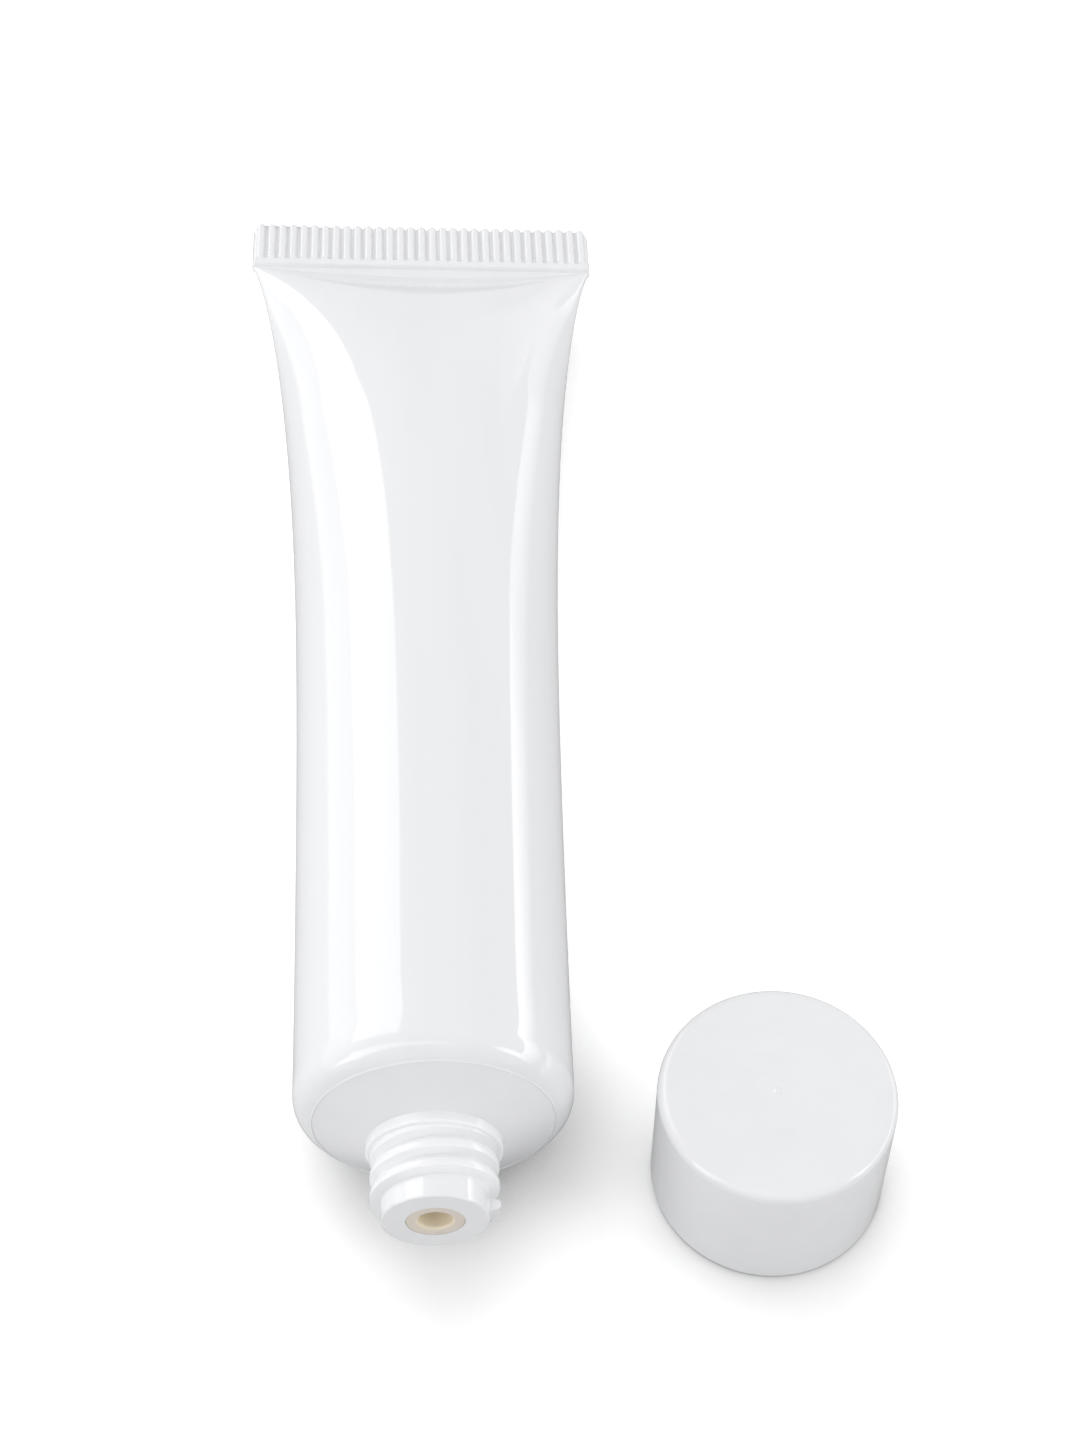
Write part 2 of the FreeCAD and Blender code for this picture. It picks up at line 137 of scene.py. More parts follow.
@dataclass(frozen=True)
class Thread:
    """A screw ridge wound downward from its upper end.

    Args:
        top: height of the ridge's middle at its upper end.
        pitch: rise of one turn.
        turns: how many turns it has.
        depth: how far it stands out; negative for a ridge that points inward.
        root: width at its foot.
        crest: width at its top.
        blunt: share of a turn over which its upper end rises.
        runout: share of a turn over which its lower end fades.
    """

    top: float
    pitch: float
    turns: float
    depth: float
    root: float
    crest: float
    blunt: float = 0.008
    runout: float = 0.12

    def height(self, angle: np.ndarray, level: float) -> np.ndarray:
        """Return how far the ridge stands out at each angle, on one level.

        Args:
            angle: angles round the axis, in radians.
            level: height along the axis.

        Returns:
            The ridge's height there, 0 off the ridge.
        """
        highest = np.zeros(len(angle))
        for wound in range(int(self.turns) + 2):
            down = (TURN - angle) / TURN + wound - 1
            off = np.abs(level - (self.top - self.pitch * down))
            slope = np.clip((self.root / 2 - off) / (self.root / 2 - self.crest / 2), 0, 1)
            begins = np.clip(down / self.blunt, 0, 1)
            ends = np.clip((self.turns - down) / self.runout, 0, 1)
            highest = np.maximum(highest, slope * slope * (3 - 2 * slope) * begins * ends)
        return highest * self.depth


@dataclass(frozen=True)
class Shoulder:
    """The bend from the tube's side to its cone, which the sleeve and the head share."""

    tube_diameter: float = 25.0
    bend_start: float = 1.3
    bend_radius: float = 2.95
    cone: float = math.radians(25)

    def bend(self, inset: float, steps: int) -> list[Point]:
        """Return the bend's outline, from the cone to the side.

        Args:
            inset: how far inside the outer face it runs.
            steps: number of chords.

        Returns:
            The points, as (distance from the axis, height above the shoulder circle).
        """
        centre = (self.tube_diameter / 2 - self.bend_radius, self.bend_start)
        return arc(centre, self.bend_radius - inset, 90 - math.degrees(self.cone), 0, steps)


# ------------------------------------------------------------------ places and meshes
@dataclass
class Placement:
    """Where the tube and the cap are in the frame, in millimetres."""

    axis_x: float
    axis_z: float
    tip_y: float
    shoulder_y: float
    cap_x: float
    cap_y: float
    floor_z: float

    @classmethod
    def from_frame(cls, tip: float) -> "Placement":
        """Read the places from the frame's boxes.

        Args:
            tip: height of the neck's tip above the shoulder circle.

        Returns:
            The placement.
        """
        low, high = (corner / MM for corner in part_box("orifice_insert"))
        cap_low, cap_high = (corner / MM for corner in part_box("cap"))
        return cls(
            axis_x=(low.x + high.x) / 2,
            axis_z=(low.z + high.z) / 2,
            tip_y=low.y,
            shoulder_y=low.y + tip,
            cap_x=(cap_low.x + cap_high.x) / 2,
            cap_y=(cap_low.y + cap_high.y) / 2,
            floor_z=CAD_BOX[0].z / MM,
        )

    def ahead(self, radius: float, angle: np.ndarray, level: float) -> np.ndarray:
        """Return a ring round the tube's axis.

        Args:
            radius: its distance from the axis.
            angle: the angles of its points.
            level: how far it lies ahead of the shoulder circle, towards the neck's tip.

        Returns:
            The points, shaped (points, 3).
        """
        across, up = self.axis_x + radius * np.cos(angle), self.axis_z + radius * np.sin(angle)
        return np.stack([across, np.full(len(angle), self.shoulder_y - level), up], 1)

    def standing(self, radius: np.ndarray, angle: np.ndarray, level: float) -> np.ndarray:
        """Return a ring round the cap's axis.

        Args:
            radius: its distance from the axis at each angle.
            angle: the angles of its points.
            level: its height above the floor.

        Returns:
            The points, shaped (points, 3).
        """
        across, back = self.cap_x + radius * np.cos(angle), self.cap_y + radius * np.sin(angle)
        return np.stack([across, back, np.full(len(angle), level)], 1)


class Shell:
    """Collects rings of points and the bands of faces between them, and makes one piece of them."""

    def __init__(self) -> None:
        """Start with no points."""
        self.points: list[np.ndarray] = []
        self.faces: list[tuple[int, ...]] = []
        self.count = 0

    def add_rings(self, rows: np.ndarray) -> tuple[int, int]:
        """Add closed rings and join each to the next.

        Args:
            rows: points in millimetres, shaped (rings, points in a ring, 3).

        Returns:
            The index of the first point of the first ring, and of the last ring.
        """
        rings, around, _ = rows.shape
        first = self.count
        self.points.append(rows.reshape(-1, 3))
        self.count += rings * around
        for ring in range(rings - 1):
            self.bridge(first + ring * around, first + (ring + 1) * around, around)
        return first, first + (rings - 1) * around

    def bridge(self, low: int, high: int, around: int) -> None:
        """Join two rings of the same number of points.

        Args:
            low: index of one ring's first point.
            high: index of the other ring's first point.
            around: number of points in each.
        """
        for step in range(around):
            following = (step + 1) % around
            self.faces.append((low + step, low + following, high + following, high + step))

    def close_flat(self, ring: int, around: int) -> None:
        """Close a flattened ring by joining each point of its upper half to the one below it.

        Args:
            ring: index of the ring's first point, which lies at one end of the flat.
            around: number of points in the ring.
        """
        for step in range(around // 2):
            below, next_below = (around - step) % around, around - step - 1
            corners = [ring + step, ring + step + 1, ring + next_below, ring + below]
            unique = list(dict.fromkeys(corners))
            if len(unique) > 2:
                self.faces.append(tuple(unique))

    def close_round(self, ring: int, around: int) -> None:
        """Close a ring with one face, for example a disc's middle."""
        self.faces.append(tuple(range(ring, ring + around)))

    def piece(self, name: str, material: bpy.types.Material, stands_for: str) -> bpy.types.Object:
        """Make the mesh, dress it and tie it to the frame.

        Args:
            name: the piece's name.
            material: its finish.
            stands_for: the frame's node that it replaces.

        Returns:
            The new object.
        """
        mesh = bpy.data.meshes.new(name)
        mesh.from_pydata((np.concatenate(self.points) * MM).tolist(), [], self.faces)
        welded = bmesh.new()
        welded.from_mesh(mesh)
        bmesh.ops.remove_doubles(welded, verts=welded.verts, dist=WELD)
        bmesh.ops.recalc_face_normals(welded, faces=welded.faces)
        welded.to_mesh(mesh)
        welded.free()
        mesh.shade_smooth()
        mesh.set_sharp_from_angle(angle=SHARP)
        mesh.materials.append(material)
        thing = bpy.data.objects.new(name, mesh)
        bpy.context.scene.collection.objects.link(thing)
        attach(thing, "root")
        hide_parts(stands_for)
        log.info("%s: %d points, %d faces", name, len(mesh.vertices), len(mesh.polygons))
        return thing


# ------------------------------------------------------------------ the pieces
@dataclass
class Sleeve:
    """The extruded tube wall: round in front, pressed flat behind, with a ribbed seal."""

    shoulder: Shoulder = Shoulder()
    wall: float = 0.5
    length: float = 107.4
    around: int = 768

    # The edge rolled over the head, as (distance up the cone, height above it), from inside to outside.
    lip: tuple[Point, ...] = (
        (0.09, -0.3), (0.09, 0.055), (0.075, 0.075), (0.02, 0.05), (-0.04, 0.02), (-0.1, 0.004), (-0.16, 0.0))

    # How the section flattens, lies on the floor and rises, by shares of the length from the shoulder.
    resting_share: float = 0.5
    early_flattening: float = 0.3
    early_power: float = 1.3
    late_power: float = 4.0
    roll: float = math.radians(3.5)

    # The tail: a flat strip next to the seal's root, a curved crease, and the wedge that opens from it.
    tail_start: float = 30.0
    root_half: float = 0.34
    strip_rise: float = 0.12
    strip_edge: float = 0.5
    strip_reach: float = 8.0
    crease_least: float = 0.04
    crease_depth: float = 1.45
    crease_centre: float = 0.12
    crease_reach: float = 9.0
    wedge_slope: float = math.tan(math.radians(31))
    wedge_power: float = 2.6
    oval_power: float = 0.5
    oval_pointed: float = 0.25
    oval_reach: float = 26.0
    inside_end: float = 2.5
    inside_least: float = 0.05

    # The seal's thicker block with its rounded corners: its front face as (past the root, half
    # thickness), and its trimmed end as (before the end, thinner by, narrower by).
    seal_length: float = 7.0
    corner: float = 0.9
    block_half: float = 0.88
    block_edge: float = 0.35
    block_face: tuple[Point, ...] = (
        (0.02, 0.36), (0.05, 0.42), (0.11, 0.56), (0.17, 0.7), (0.25, 0.81), (0.4, 0.88))
    trimmed_end: tuple[Triple, ...] = ((0.03, 0.05, 0.03), (0.0, 0.13, 0.1))

    # The ribs, and the grooves between them.
    rib_pitch: float = 1.25
    ribs: int = 31
    rib_margin: float = 0.35
    groove_width: float = 0.86
    groove_depth: float = 0.52
    groove_start: float = 0.95

    # Its rings: chords of the bend outside and inside, rings along the side, in the tail (closer
    # together towards the root, by a power) and inside, rows over the flat strip, and rows past the
    # root (from, to, count) over the grooves' rounded starts, along them and into the corners.
    outer_chords: int = 14
    inner_chords: int = 5
    side_count: int = 24
    tail_count: int = 28
    tail_power: float = 1.6
    inside_count: int = 9
    strip_rows: tuple[float, ...] = (-0.03, -0.1, -0.35, -0.7, -1.0)
    groove_rows: tuple[tuple[float, float, int], ...] = (
        (0.75, 1.55, 9), (2.4, 4.2, 2), (6.1, 6.1, 1), (6.25, 6.88, 5))

    def flat(self, share: np.ndarray) -> np.ndarray:
        """Return how far the section is flattened at each share of the length, 0 to 1."""
        early = self.early_flattening
        return early * share**self.early_power + (1 - early) * share**self.late_power

    def half_thick(self, share: np.ndarray) -> np.ndarray:
        """Return half the section's thickness at each share of the length."""
        left = np.sqrt(np.clip(1 - self.flat(share), 0, 1))
        return self.wall + (self.shoulder.tube_diameter / 2 - self.wall) * left

    def half_wide(self, share: np.ndarray) -> np.ndarray:
        """Return half the section's width, which keeps the wall's perimeter.

        The perimeter is that of an ellipse by Ramanujan's first formula, solved for its width.

        Args:
            share: shares of the length.

        Returns:
            Half the width at each, never less than half the thickness.
        """
        d, b = self.shoulder.tube_diameter, self.half_thick(share)
        inside = (6 * d - 8 * b) ** 2 - 24 * (6 * b**2 - 6 * b * d + d**2)
        return np.maximum((6 * d - 8 * b + np.sqrt(np.maximum(inside, 0))) / 12, b)

    def middle(self, share: np.ndarray) -> np.ndarray:
        """Return the height of the section's middle above the floor.

        The wall rests on the floor at first.  Then the middle follows a cubic that starts with the
        resting part's height and slope, and ends level at the round part's radius.

        Args:
            share: shares of the length.

        Returns:
            The height at each.
        """
        radius = self.shoulder.tube_diameter / 2
        rest = self.resting_share
        left = math.sqrt(1 - self.flat(rest))
        dip = (radius - self.wall) * (1 - left)
        early = self.early_flattening * self.early_power * rest ** (self.early_power - 1)
        late = (1 - self.early_flattening) * self.late_power * rest ** (self.late_power - 1)
        slope = (radius - self.wall) * (early + late) / (2 * left) * (1 - rest)
        t = np.clip((share - rest) / (1 - rest), 0, 1)
        rising = radius - (dip * (1 + 2 * t) * (1 - t) ** 2 + slope * t * (1 - t) ** 2)
        return np.where(share <= rest, self.half_thick(share), rising)

    def crease(self, across: np.ndarray) -> np.ndarray:
        """Return how far before the seal the wall leaves the flat.

        Args:
            across: places across the sleeve, from -1 to 1.

        Returns:
            The distance at each.
        """
        side = np.where(across > self.crease_centre, 1 - self.crease_centre, 1 + self.crease_centre)
        share = (across - self.crease_centre) / side
        return self.crease_least + self.crease_depth * np.clip(1 - share**2, 0, 1)

    def groove(self, x: np.ndarray, past: float) -> np.ndarray:
        """Return how deep the grooves between the ribs are.

        Args:
            x: distances from the seal's middle.
            past: distance past the seal's root.

        Returns:
            The depth at each, from 0 to 1.
        """
        phase = (x / self.rib_pitch + 0.5) % 1.0 - 0.5
        between = (0.5 - np.abs(phase)) * self.rib_pitch
        outer = np.abs(x) > (self.ribs + self.rib_margin) / 2 * self.rib_pitch
        end = max(self.groove_start + self.groove_width / 2 - past, 0)
        off = np.hypot(between, end) / (self.groove_width / 2)
        depth = 0.5 + 0.5 * np.cos(np.pi * np.clip(off, 0, 1))
        return np.where(outer, 0, depth)

    def rounded(self, x: np.ndarray, half: float, radius: float) -> np.ndarray:
        """Return 1 over a flat bar's width, falling to 0 round its edges."""
        over = np.clip((np.abs(x) - (half - radius)) / radius, 0, 1)
        return np.sqrt(1 - over**2)

    def with_underside(self, top: np.ndarray) -> np.ndarray:
        """Return a whole ring, made of its upper half and the same half turned down."""
        return np.concatenate([top, top[-2:0:-1] * [1, 1, -1]])

    def tail_row(self, before: float, evenly: float) -> np.ndarray:
        """Return one ring of the tail.

        Args:
            before: distance before the seal's root; -1 to 0 runs over the flat strip.
            evenly: 0 spaces the points by angle, 1 evenly across the width.

        Returns:
            The ring's points as (across, distance before the root, up), in the rolled section.
        """
        half = self.around // 2
        by_angle = np.cos(np.linspace(0, np.pi, half + 1))
        by_width = np.linspace(1, -1, half + 1)
        across = by_angle * (1 - evenly) + by_width * evenly
        crease = self.crease(across)
        if before < 0:
            distance = crease * (1 + before)
        else:
            distance = before + crease * math.exp(-((before / self.crease_reach) ** 2))
        share = 1 - distance / self.length
        wide, thick = self.half_wide(share), self.half_thick(share)
        x = across * wide
        round_left = np.clip(1 - across**2, 0, 1)
        pointed = self.oval_power + self.oval_pointed * np.clip(1 - distance / self.oval_reach, 0, 1)
        skin = (thick - self.root_half) * round_left**pointed
        wedge = self.wedge_slope * np.maximum(distance - crease, 0)
        power = self.wedge_power
        open_up = skin * wedge / (skin**power + wedge**power + TINY) ** (1 / power)
        blend = np.clip(distance / self.strip_reach, 0, 1)
        strip = self.root_half + self.strip_rise * np.minimum(distance, crease) * (1 - blend)
        bar = self.rounded(x, wide, self.strip_edge)
        up = strip * (bar * (1 - blend) + np.sqrt(round_left) * blend) + open_up
        return self.with_underside(np.stack([x, distance, up], 1))

    def seal_row(self, past: float, half: float, grooved: bool, inset: float = 0.0) -> np.ndarray:
        """Return one ring of the ribbed seal.

        Args:
            past: distance past the seal's root.
            half: half its thickness over the ribs.
            grooved: whether the grooves reach it.
            inset: how much narrower it is on each side.

        Returns:
            The ring's points as (across, distance before the root, up), in the rolled section.
        """
        steps = self.around // 2
        full = math.pi * self.shoulder.tube_diameter / 4
        into_corner = max(past - (self.seal_length - self.corner), 0)
        trimmed = self.corner - math.sqrt(max(self.corner**2 - into_corner**2, 0))
        wide = full - trimmed - inset
        x = np.linspace(1, -1, steps + 1) * wide
        up = np.full(steps + 1, half)
        if grooved:
            up = up - self.groove_depth * self.groove(x, past)
        up = up * self.rounded(x, wide, self.block_edge)
        return self.with_underside(np.stack([x, np.full(steps + 1, -past), up], 1))

    def placed(self, ring: np.ndarray, place: Placement) -> np.ndarray:
        """Turn a ring of the rolled section into the frame's millimetres.

        Args:
            ring: its points as (across, distance before the root, up).
            place: where the tube lies.

        Returns:
            The same points in the frame.
        """
        x, before, up = ring.T
        cos, sin = math.cos(self.roll), math.sin(self.roll)
        middle = self.middle(np.clip(1 - before / self.length, 0, 1))
        return np.stack([
            place.axis_x + x * cos + up * sin,
            place.shoulder_y + self.length - before,
            middle - x * sin + up * cos,
        ], 1)

    def front_rings(self, place: Placement) -> list[np.ndarray]:
        """Return the rings of the rolled edge and the bend, from the cone to the side.

        Args:
            place: where the tube lies.

        Returns:
            The rings, in the frame.
        """
        (edge_r, edge_h), *bend = self.shoulder.bend(0.0, self.outer_chords)
        cos, sin = math.cos(self.shoulder.cone), math.sin(self.shoulder.cone)
        lip = [(edge_r - cos * up + sin * over, edge_h + sin * up + cos * over) for up, over in self.lip]
        return [place.ahead(radius, circle(self.around), level) for radius, level in (*lip, *bend)]

    def tail_rings(self) -> list[np.ndarray]:
        """Return the rings from the bend to the seal's root, closer together towards the root.

        Returns:
            The rings, in the rolled section.
        """
        side = np.linspace(self.length, self.tail_start, self.side_count)
        tail = self.tail_start * np.linspace(1, 0, self.tail_count)[1:] ** self.tail_power
        rings = [self.tail_row(before, 0.0) for before in side]
        rings += [self.tail_row(before, 1 - before / self.tail_start) for before in tail]
        return rings + [self.tail_row(before, 1.0) for before in self.strip_rows]

    def seal_rings(self) -> list[np.ndarray]:
        """Return the rings of the seal: its block's face, the grooves and the trimmed end.

        Returns:
            The rings, in the rolled section.
        """
        rings = [self.seal_row(past, half, False) for past, half in self.block_face]
        for rows in self.groove_rows:
            rings += [self.seal_row(past, self.block_half, True) for past in np.linspace(*rows)]
        for before, thinner, narrower in self.trimmed_end:
            rings.append(self.seal_row(self.seal_length - before, self.block_half - thinner, True, narrower))
        return rings

    def build(self, place: Placement, material: bpy.types.Material) -> bpy.types.Object:
        """Build the wall, inside and out.

        Args:
            place: where the tube lies.
            material: its finish.

        Returns:
            The piece.
        """
        shell = Shell()
        behind = [self.placed(ring, place) for ring in self.tail_rings() + self.seal_rings()]
        _, last_ring = shell.add_rings(np.stack(self.front_rings(place) + behind))
        shell.close_flat(last_ring, self.around)
        self.line_inside(shell, place)
        return shell.piece("sleeve_wall", material, "sleeve")

    def line_inside(self, shell: Shell, place: Placement) -> None:
        """Add the wall's inner face, from the front edge to the seal.

        Args:
            shell: the sleeve's shell, whose first ring is the front edge.
            place: where the tube lies.
        """
        bend = self.shoulder.bend(self.wall, self.inner_chords)
        rings = [place.ahead(radius, circle(self.around), level) for radius, level in bend]
        for before in np.linspace(self.length, self.inside_end, self.inside_count):
            outer = self.tail_row(before, 0.0)
            wide, thick = np.abs(outer[:, 0]).max(), np.abs(outer[:, 2]).max()
            inner = outer * [1 - self.wall / wide, 1, max(1 - self.wall / thick, self.inside_least)]
            rings.append(self.placed(inner, place))
        first, last = shell.add_rings(np.stack(rings))
        shell.bridge(0, first, self.around)
        shell.close_flat(last, self.around)


@dataclass
class Head:
    """The moulded shoulder, collar and threaded neck, whose mesh in the frame is kept."""

    shoulder: Shoulder = Shoulder()
    collar_radius: float = 6.05
    collar_length: float = 0.95
    neck_length: float = 6.4

    def tip(self) -> float:
        """Work out where the neck ends.

        Returns:
            The height of the neck's face above the shoulder circle.
        """
        cone_edge, level = self.shoulder.bend(0.0, 1)[0]
        collar_foot = level + (cone_edge - self.collar_radius) * math.tan(self.shoulder.cone)
        return collar_foot + self.collar_length + self.neck_length

    def dress(self, material: bpy.types.Material) -> None:
        """Give the frame's head its finish.

        Args:
            material: the finish.
        """
        thing = bpy.data.objects["head"]
        thing.data.materials.clear()
        thing.data.materials.append(material)
        log.info("head: %d faces, dressed", len(thing.data.polygons))


@dataclass
class OrificeInsert:
    """The plug in the neck with the small outlet."""

    radius: float = 2.55
    length: float = 6.0
    orifice: float = 1.5
    outlet_round: float = 0.3
    rim_round: float = 0.06
    sunk: float = 0.02
    around: int = 160

    # Where the flat face's rings lie, outside the outlet's round and inside the rim, and how far the
    # bore's first ring lies below the round.
    face_inner: float = 0.2
    face_outer: float = 0.3
    bore_first: float = 0.03

    def build(self, place: Placement, tip: float, material: bpy.types.Material) -> bpy.types.Object:
        """Build the insert.

        Args:
            place: where the tube lies.
            tip: height of the neck's tip above the shoulder circle.
            material: its finish.

        Returns:
            The piece.
        """
        foot, face = tip - self.length, tip - self.sunk
        rim = (self.radius - self.rim_round, face - self.rim_round)
        outlet = (self.orifice + self.outlet_round, face - self.outlet_round)
        points = [(self.orifice, foot), (self.radius, foot), (self.radius, rim[1])]
        points += arc(rim, self.rim_round, 0, 90, 4)
        points += [(self.radius - self.face_outer, face), (outlet[0] + self.face_inner, face)]
        points += arc(outlet, self.outlet_round, 90, 180, 8)
        points += run((self.orifice, outlet[1] - self.bore_first), (self.orifice, foot), 8)[1:]
        rings = [place.ahead(radius, circle(self.around), level) for radius, level in points]
        shell = Shell()
        start, end = shell.add_rings(np.stack(rings))
        shell.bridge(end, start, self.around)
        return shell.piece("orifice_plug", material, "orifice_insert")


@dataclass
class Cap:
    """The loose screw cap: smooth skirt, inner threaded socket and sealing stem."""

    radius: float = 10.6
    height: float = 15.0
    draft: float = math.radians(0.3)
    wall: float = 1.2
    top: float = 1.5
    top_round: float = 1.0
    rim_round: float = 0.42
    around: int = 320

    # The socket that screws over the neck, and the ridge in it.
    socket_radius: float = 5.93
    boss_radius: float = 7.03
    socket_mouth: float = 2.532
    thread_lead: float = 0.95
    thread_pitch: float = 1.8
    thread_turns: float = 2.0
    thread_depth: float = 0.98
    thread_root: float = 0.95
    thread_crest: float = 0.35

    # The stem that seals on the neck's face, and the ceiling's middle inside it.
    stem_radius: float = 4.4
    stem_bore: float = 3.2
    land: float = 8.632
    hub: float = 0.6

    # Cut corners: on the socket's edges, at its mouth, in the stem, at the walls' roots and at the rim.
    fine_cut: float = 0.1
    mouth_cut: float = 0.15
    stem_cut: float = 0.2
    root_cut: float = 0.3
    rim_cut: float = 0.12

    # The top's dimple and the mark of the gate in its middle.
    dimple_radius: float = 4.6
    dimple_depth: float = 0.16
    dimple_power: int = 8
    dimple_lip: float = 0.15
    gate_radius: float = 0.35
    gate_height: float = 0.08
    gate_slope: Point = (0.06, 0.02)

    # Rings of the threaded wall, and how far a straight run stops before a round.
    thread_rings: int = 110
    beside: float = 0.05

    def inside(self) -> tuple[list[Point], int, int]:
        """Return the inner outline, from the middle of the ceiling to the rim.

        Returns:
            The points, as (distance from the axis, height), then the index of the socket wall's first
            point and the index after its last.
        """
        ceiling, mouth = self.height - self.top, self.socket_mouth
        rim = self.radius + self.height * math.tan(self.draft)
        skirt, skirt_foot = self.radius - self.wall, rim - self.wall
        points = [(self.hub, ceiling)]
        points += cut((self.stem_bore, ceiling), self.stem_cut, Way.IN, Way.DOWN)
        points += cut((self.stem_bore, self.land), self.fine_cut, Way.UP, Way.OUT)
        points += cut((self.stem_radius, self.land), self.fine_cut, Way.IN, Way.UP)
        points += cut((self.stem_radius, ceiling), self.fine_cut, Way.DOWN, Way.OUT)
        points.append((self.socket_radius - self.fine_cut, ceiling))
        first = len(points)
        above_mouth = (self.socket_radius, mouth + self.mouth_cut)
        points += run((self.socket_radius, ceiling - self.fine_cut), above_mouth, self.thread_rings)
        last = len(points)
        points += cut((self.socket_radius, mouth), self.mouth_cut, Way.UP, Way.OUT)
        points += cut((self.boss_radius, mouth), self.fine_cut, Way.IN, Way.UP)
        points += cut((self.boss_radius, ceiling), self.root_cut, Way.DOWN, Way.OUT)
        points += cut((skirt, ceiling), self.root_cut, Way.IN, Way.DOWN)
        points += run((skirt, ceiling - self.root_cut - self.fine_cut), (skirt_foot, self.rim_cut), 4)
        points += cut((skirt_foot, 0.0), self.rim_cut, Way.UP, Way.OUT)
        return points, first, last

    def outside(self) -> list[Point]:
        """Return the outer outline, from the rim to the middle of the top.

        Returns:
            The points, as (distance from the axis, height).
        """
        rim = self.radius + self.height * math.tan(self.draft)
        edge = (self.radius - self.top_round, self.height - self.top_round)
        lip = self.dimple_radius + self.dimple_lip
        points = arc((rim - self.rim_round, self.rim_round), self.rim_round, 270, 360, 6)
        points += run((rim, self.rim_round + self.beside), (self.radius, edge[1] - self.beside), 8)
        points += arc(edge, self.top_round, 0, 90, 16)
        points += run((edge[0] - 2 * self.beside, self.height), (lip + self.beside, self.height), 6)
        for radius in np.linspace(lip, self.gate_radius + 2 * self.beside, 16):
            share = min(radius / self.dimple_radius, 1.0)
            points.append((radius, self.height - self.dimple_depth * (1 - share**self.dimple_power)))
        floor = self.height - self.dimple_depth
        inward, rise = self.gate_slope
        points += [(self.gate_radius, floor + rise), (self.gate_radius - inward, floor + self.gate_height)]
        return points + [(2 * self.beside, floor + self.gate_height)]

    def build(self, place: Placement, material: bpy.types.Material) -> bpy.types.Object:
        """Build the cap.

        Args:
            place: where the cap stands.
            material: its finish.

        Returns:
            The piece.
        """
        points, first, last = self.inside()
        thread_top = self.socket_mouth + self.thread_lead + self.thread_pitch * self.thread_turns
        thread = Thread(thread_top, self.thread_pitch, self.thread_turns, -self.thread_depth,
                        self.thread_root, self.thread_crest)
        angle = circle(self.around)
        rings = []
        for index, (radius, level) in enumerate(points + self.outside()):
            around = np.full(self.around, radius)
            if first <= index < last:
                around = around + thread.height(angle, level)
            rings.append(place.standing(around, angle, level))
        shell = Shell()
        start, end = shell.add_rings(np.stack(rings))
        shell.close_round(start, self.around)
        shell.close_round(end, self.around)
        return shell.piece("cap_moulding", material, "cap")


# ------------------------------------------------------------------ nodes
class Nodes:
    """Short ways to add and link a tree's nodes."""

    def __init__(self, tree: bpy.types.NodeTree) -> None:
        """Keep the tree."""
        self.tree = tree

    def add(self, kind: str, **settings: object) -> bpy.types.Node:
        """Add a node.

        Args:
            kind: the node's type, without its common beginning.
            settings: its properties.

        Returns:
            The node.
        """
        node = self.tree.nodes.new("ShaderNode" + kind)
        for key, value in settings.items():
            setattr(node, key, value)
        return node

    def feed(self, target: bpy.types.NodeSocket, source: object) -> None:
        """Link a socket to another, or give it a plain value.

        Args:
            target: the socket that is fed.
            source: an output socket, or a number or tuple.
        """
        if isinstance(source, bpy.types.NodeSocket):
            self.tree.links.new(source, target)
        else:
            target.default_value = source

    def feed_all(self, node: bpy.types.Node, *sources: object) -> None:
        """Feed a node's first inputs in order.

        Args:
            node: the node.
            sources: a socket or a plain value for each input.
        """
        for target, source in zip(node.inputs, sources):
            self.feed(target, source)

    def math(self, operation: str, *sources: object) -> bpy.types.NodeSocket:
        """Add a Math node.

        Args:
            operation: what it does.
            sources: its values or sockets.

        Returns:
            Its output.
        """
        node = self.add("Math", operation=operation)
        self.feed_all(node, *sources)
        return node.outputs[0]

    def noise(self, vector: object, scale: object, detail: float) -> bpy.types.NodeSocket:
        """Add a Noise Texture.

        Args:
            vector: where it is read.
            scale: its scale.
            detail: its detail.

        Returns:
            Its factor, about 0 to 1.
        """
        node = self.add("TexNoise")
        for name, source in (("Vector", vector), ("Scale", scale), ("Detail", detail)):
            self.feed(node.inputs[name], source)
        return node.outputs["Fac"]

    def ramp(self, value: object, low: float, high: float,
             to_low: float = 0.0, to_high: float = 1.0) -> bpy.types.NodeSocket:
        """Map a value from one range to another, smoothly and without leaving it.

        Args:
            value: the socket to map.
            low: start of its range.
            high: end of its range.
            to_low: result at low.
            to_high: result at high.

        Returns:
            The result.
        """
        node = self.add("MapRange", interpolation_type="SMOOTHSTEP")
        self.feed_all(node, value, low, high, to_low, to_high)
        return node.outputs[0]

    def mix(self, factor: object, first: object, second: object) -> bpy.types.NodeSocket:
        """Mix two colours.

        Args:
            factor: share of the second.
            first: the first colour or socket.
            second: the second.

        Returns:
            The mixed colour.
        """
        node = self.add("Mix", data_type="RGBA")
        self.feed(node.inputs[0], factor)
        for socket, source in ((node.inputs[6], first), (node.inputs[7], second)):
            self.feed(socket, (*source, 1.0) if isinstance(source, tuple) else source)
        return node.outputs[2]

    def viewed(self, path: bpy.types.Node) -> bpy.types.NodeSocket:
        """Tell what is looked at, straight, in a reflection or through glass, from what only sheds light.

        Args:
            path: the tree's Light Path node.

        Returns:
            A socket that is 1 for what is looked at.
        """
        mirrored = self.math("MAXIMUM", path.outputs["Is Glossy Ray"], path.outputs["Is Transmission Ray"])
        return self.math("MAXIMUM", path.outputs["Is Camera Ray"], mirrored)


def bare_material(name: str) -> tuple[bpy.types.Material, Nodes, bpy.types.Node]:
    """Start a material with nothing but its output.

    Args:
        name: the material's name.

    Returns:
        The material, its nodes and the output node.
    """
    mat = bpy.data.materials.new(name)
    mat.use_nodes = True
    nodes = Nodes(mat.node_tree)
    nodes.tree.nodes.clear()
    return mat, nodes, nodes.add("OutputMaterial")


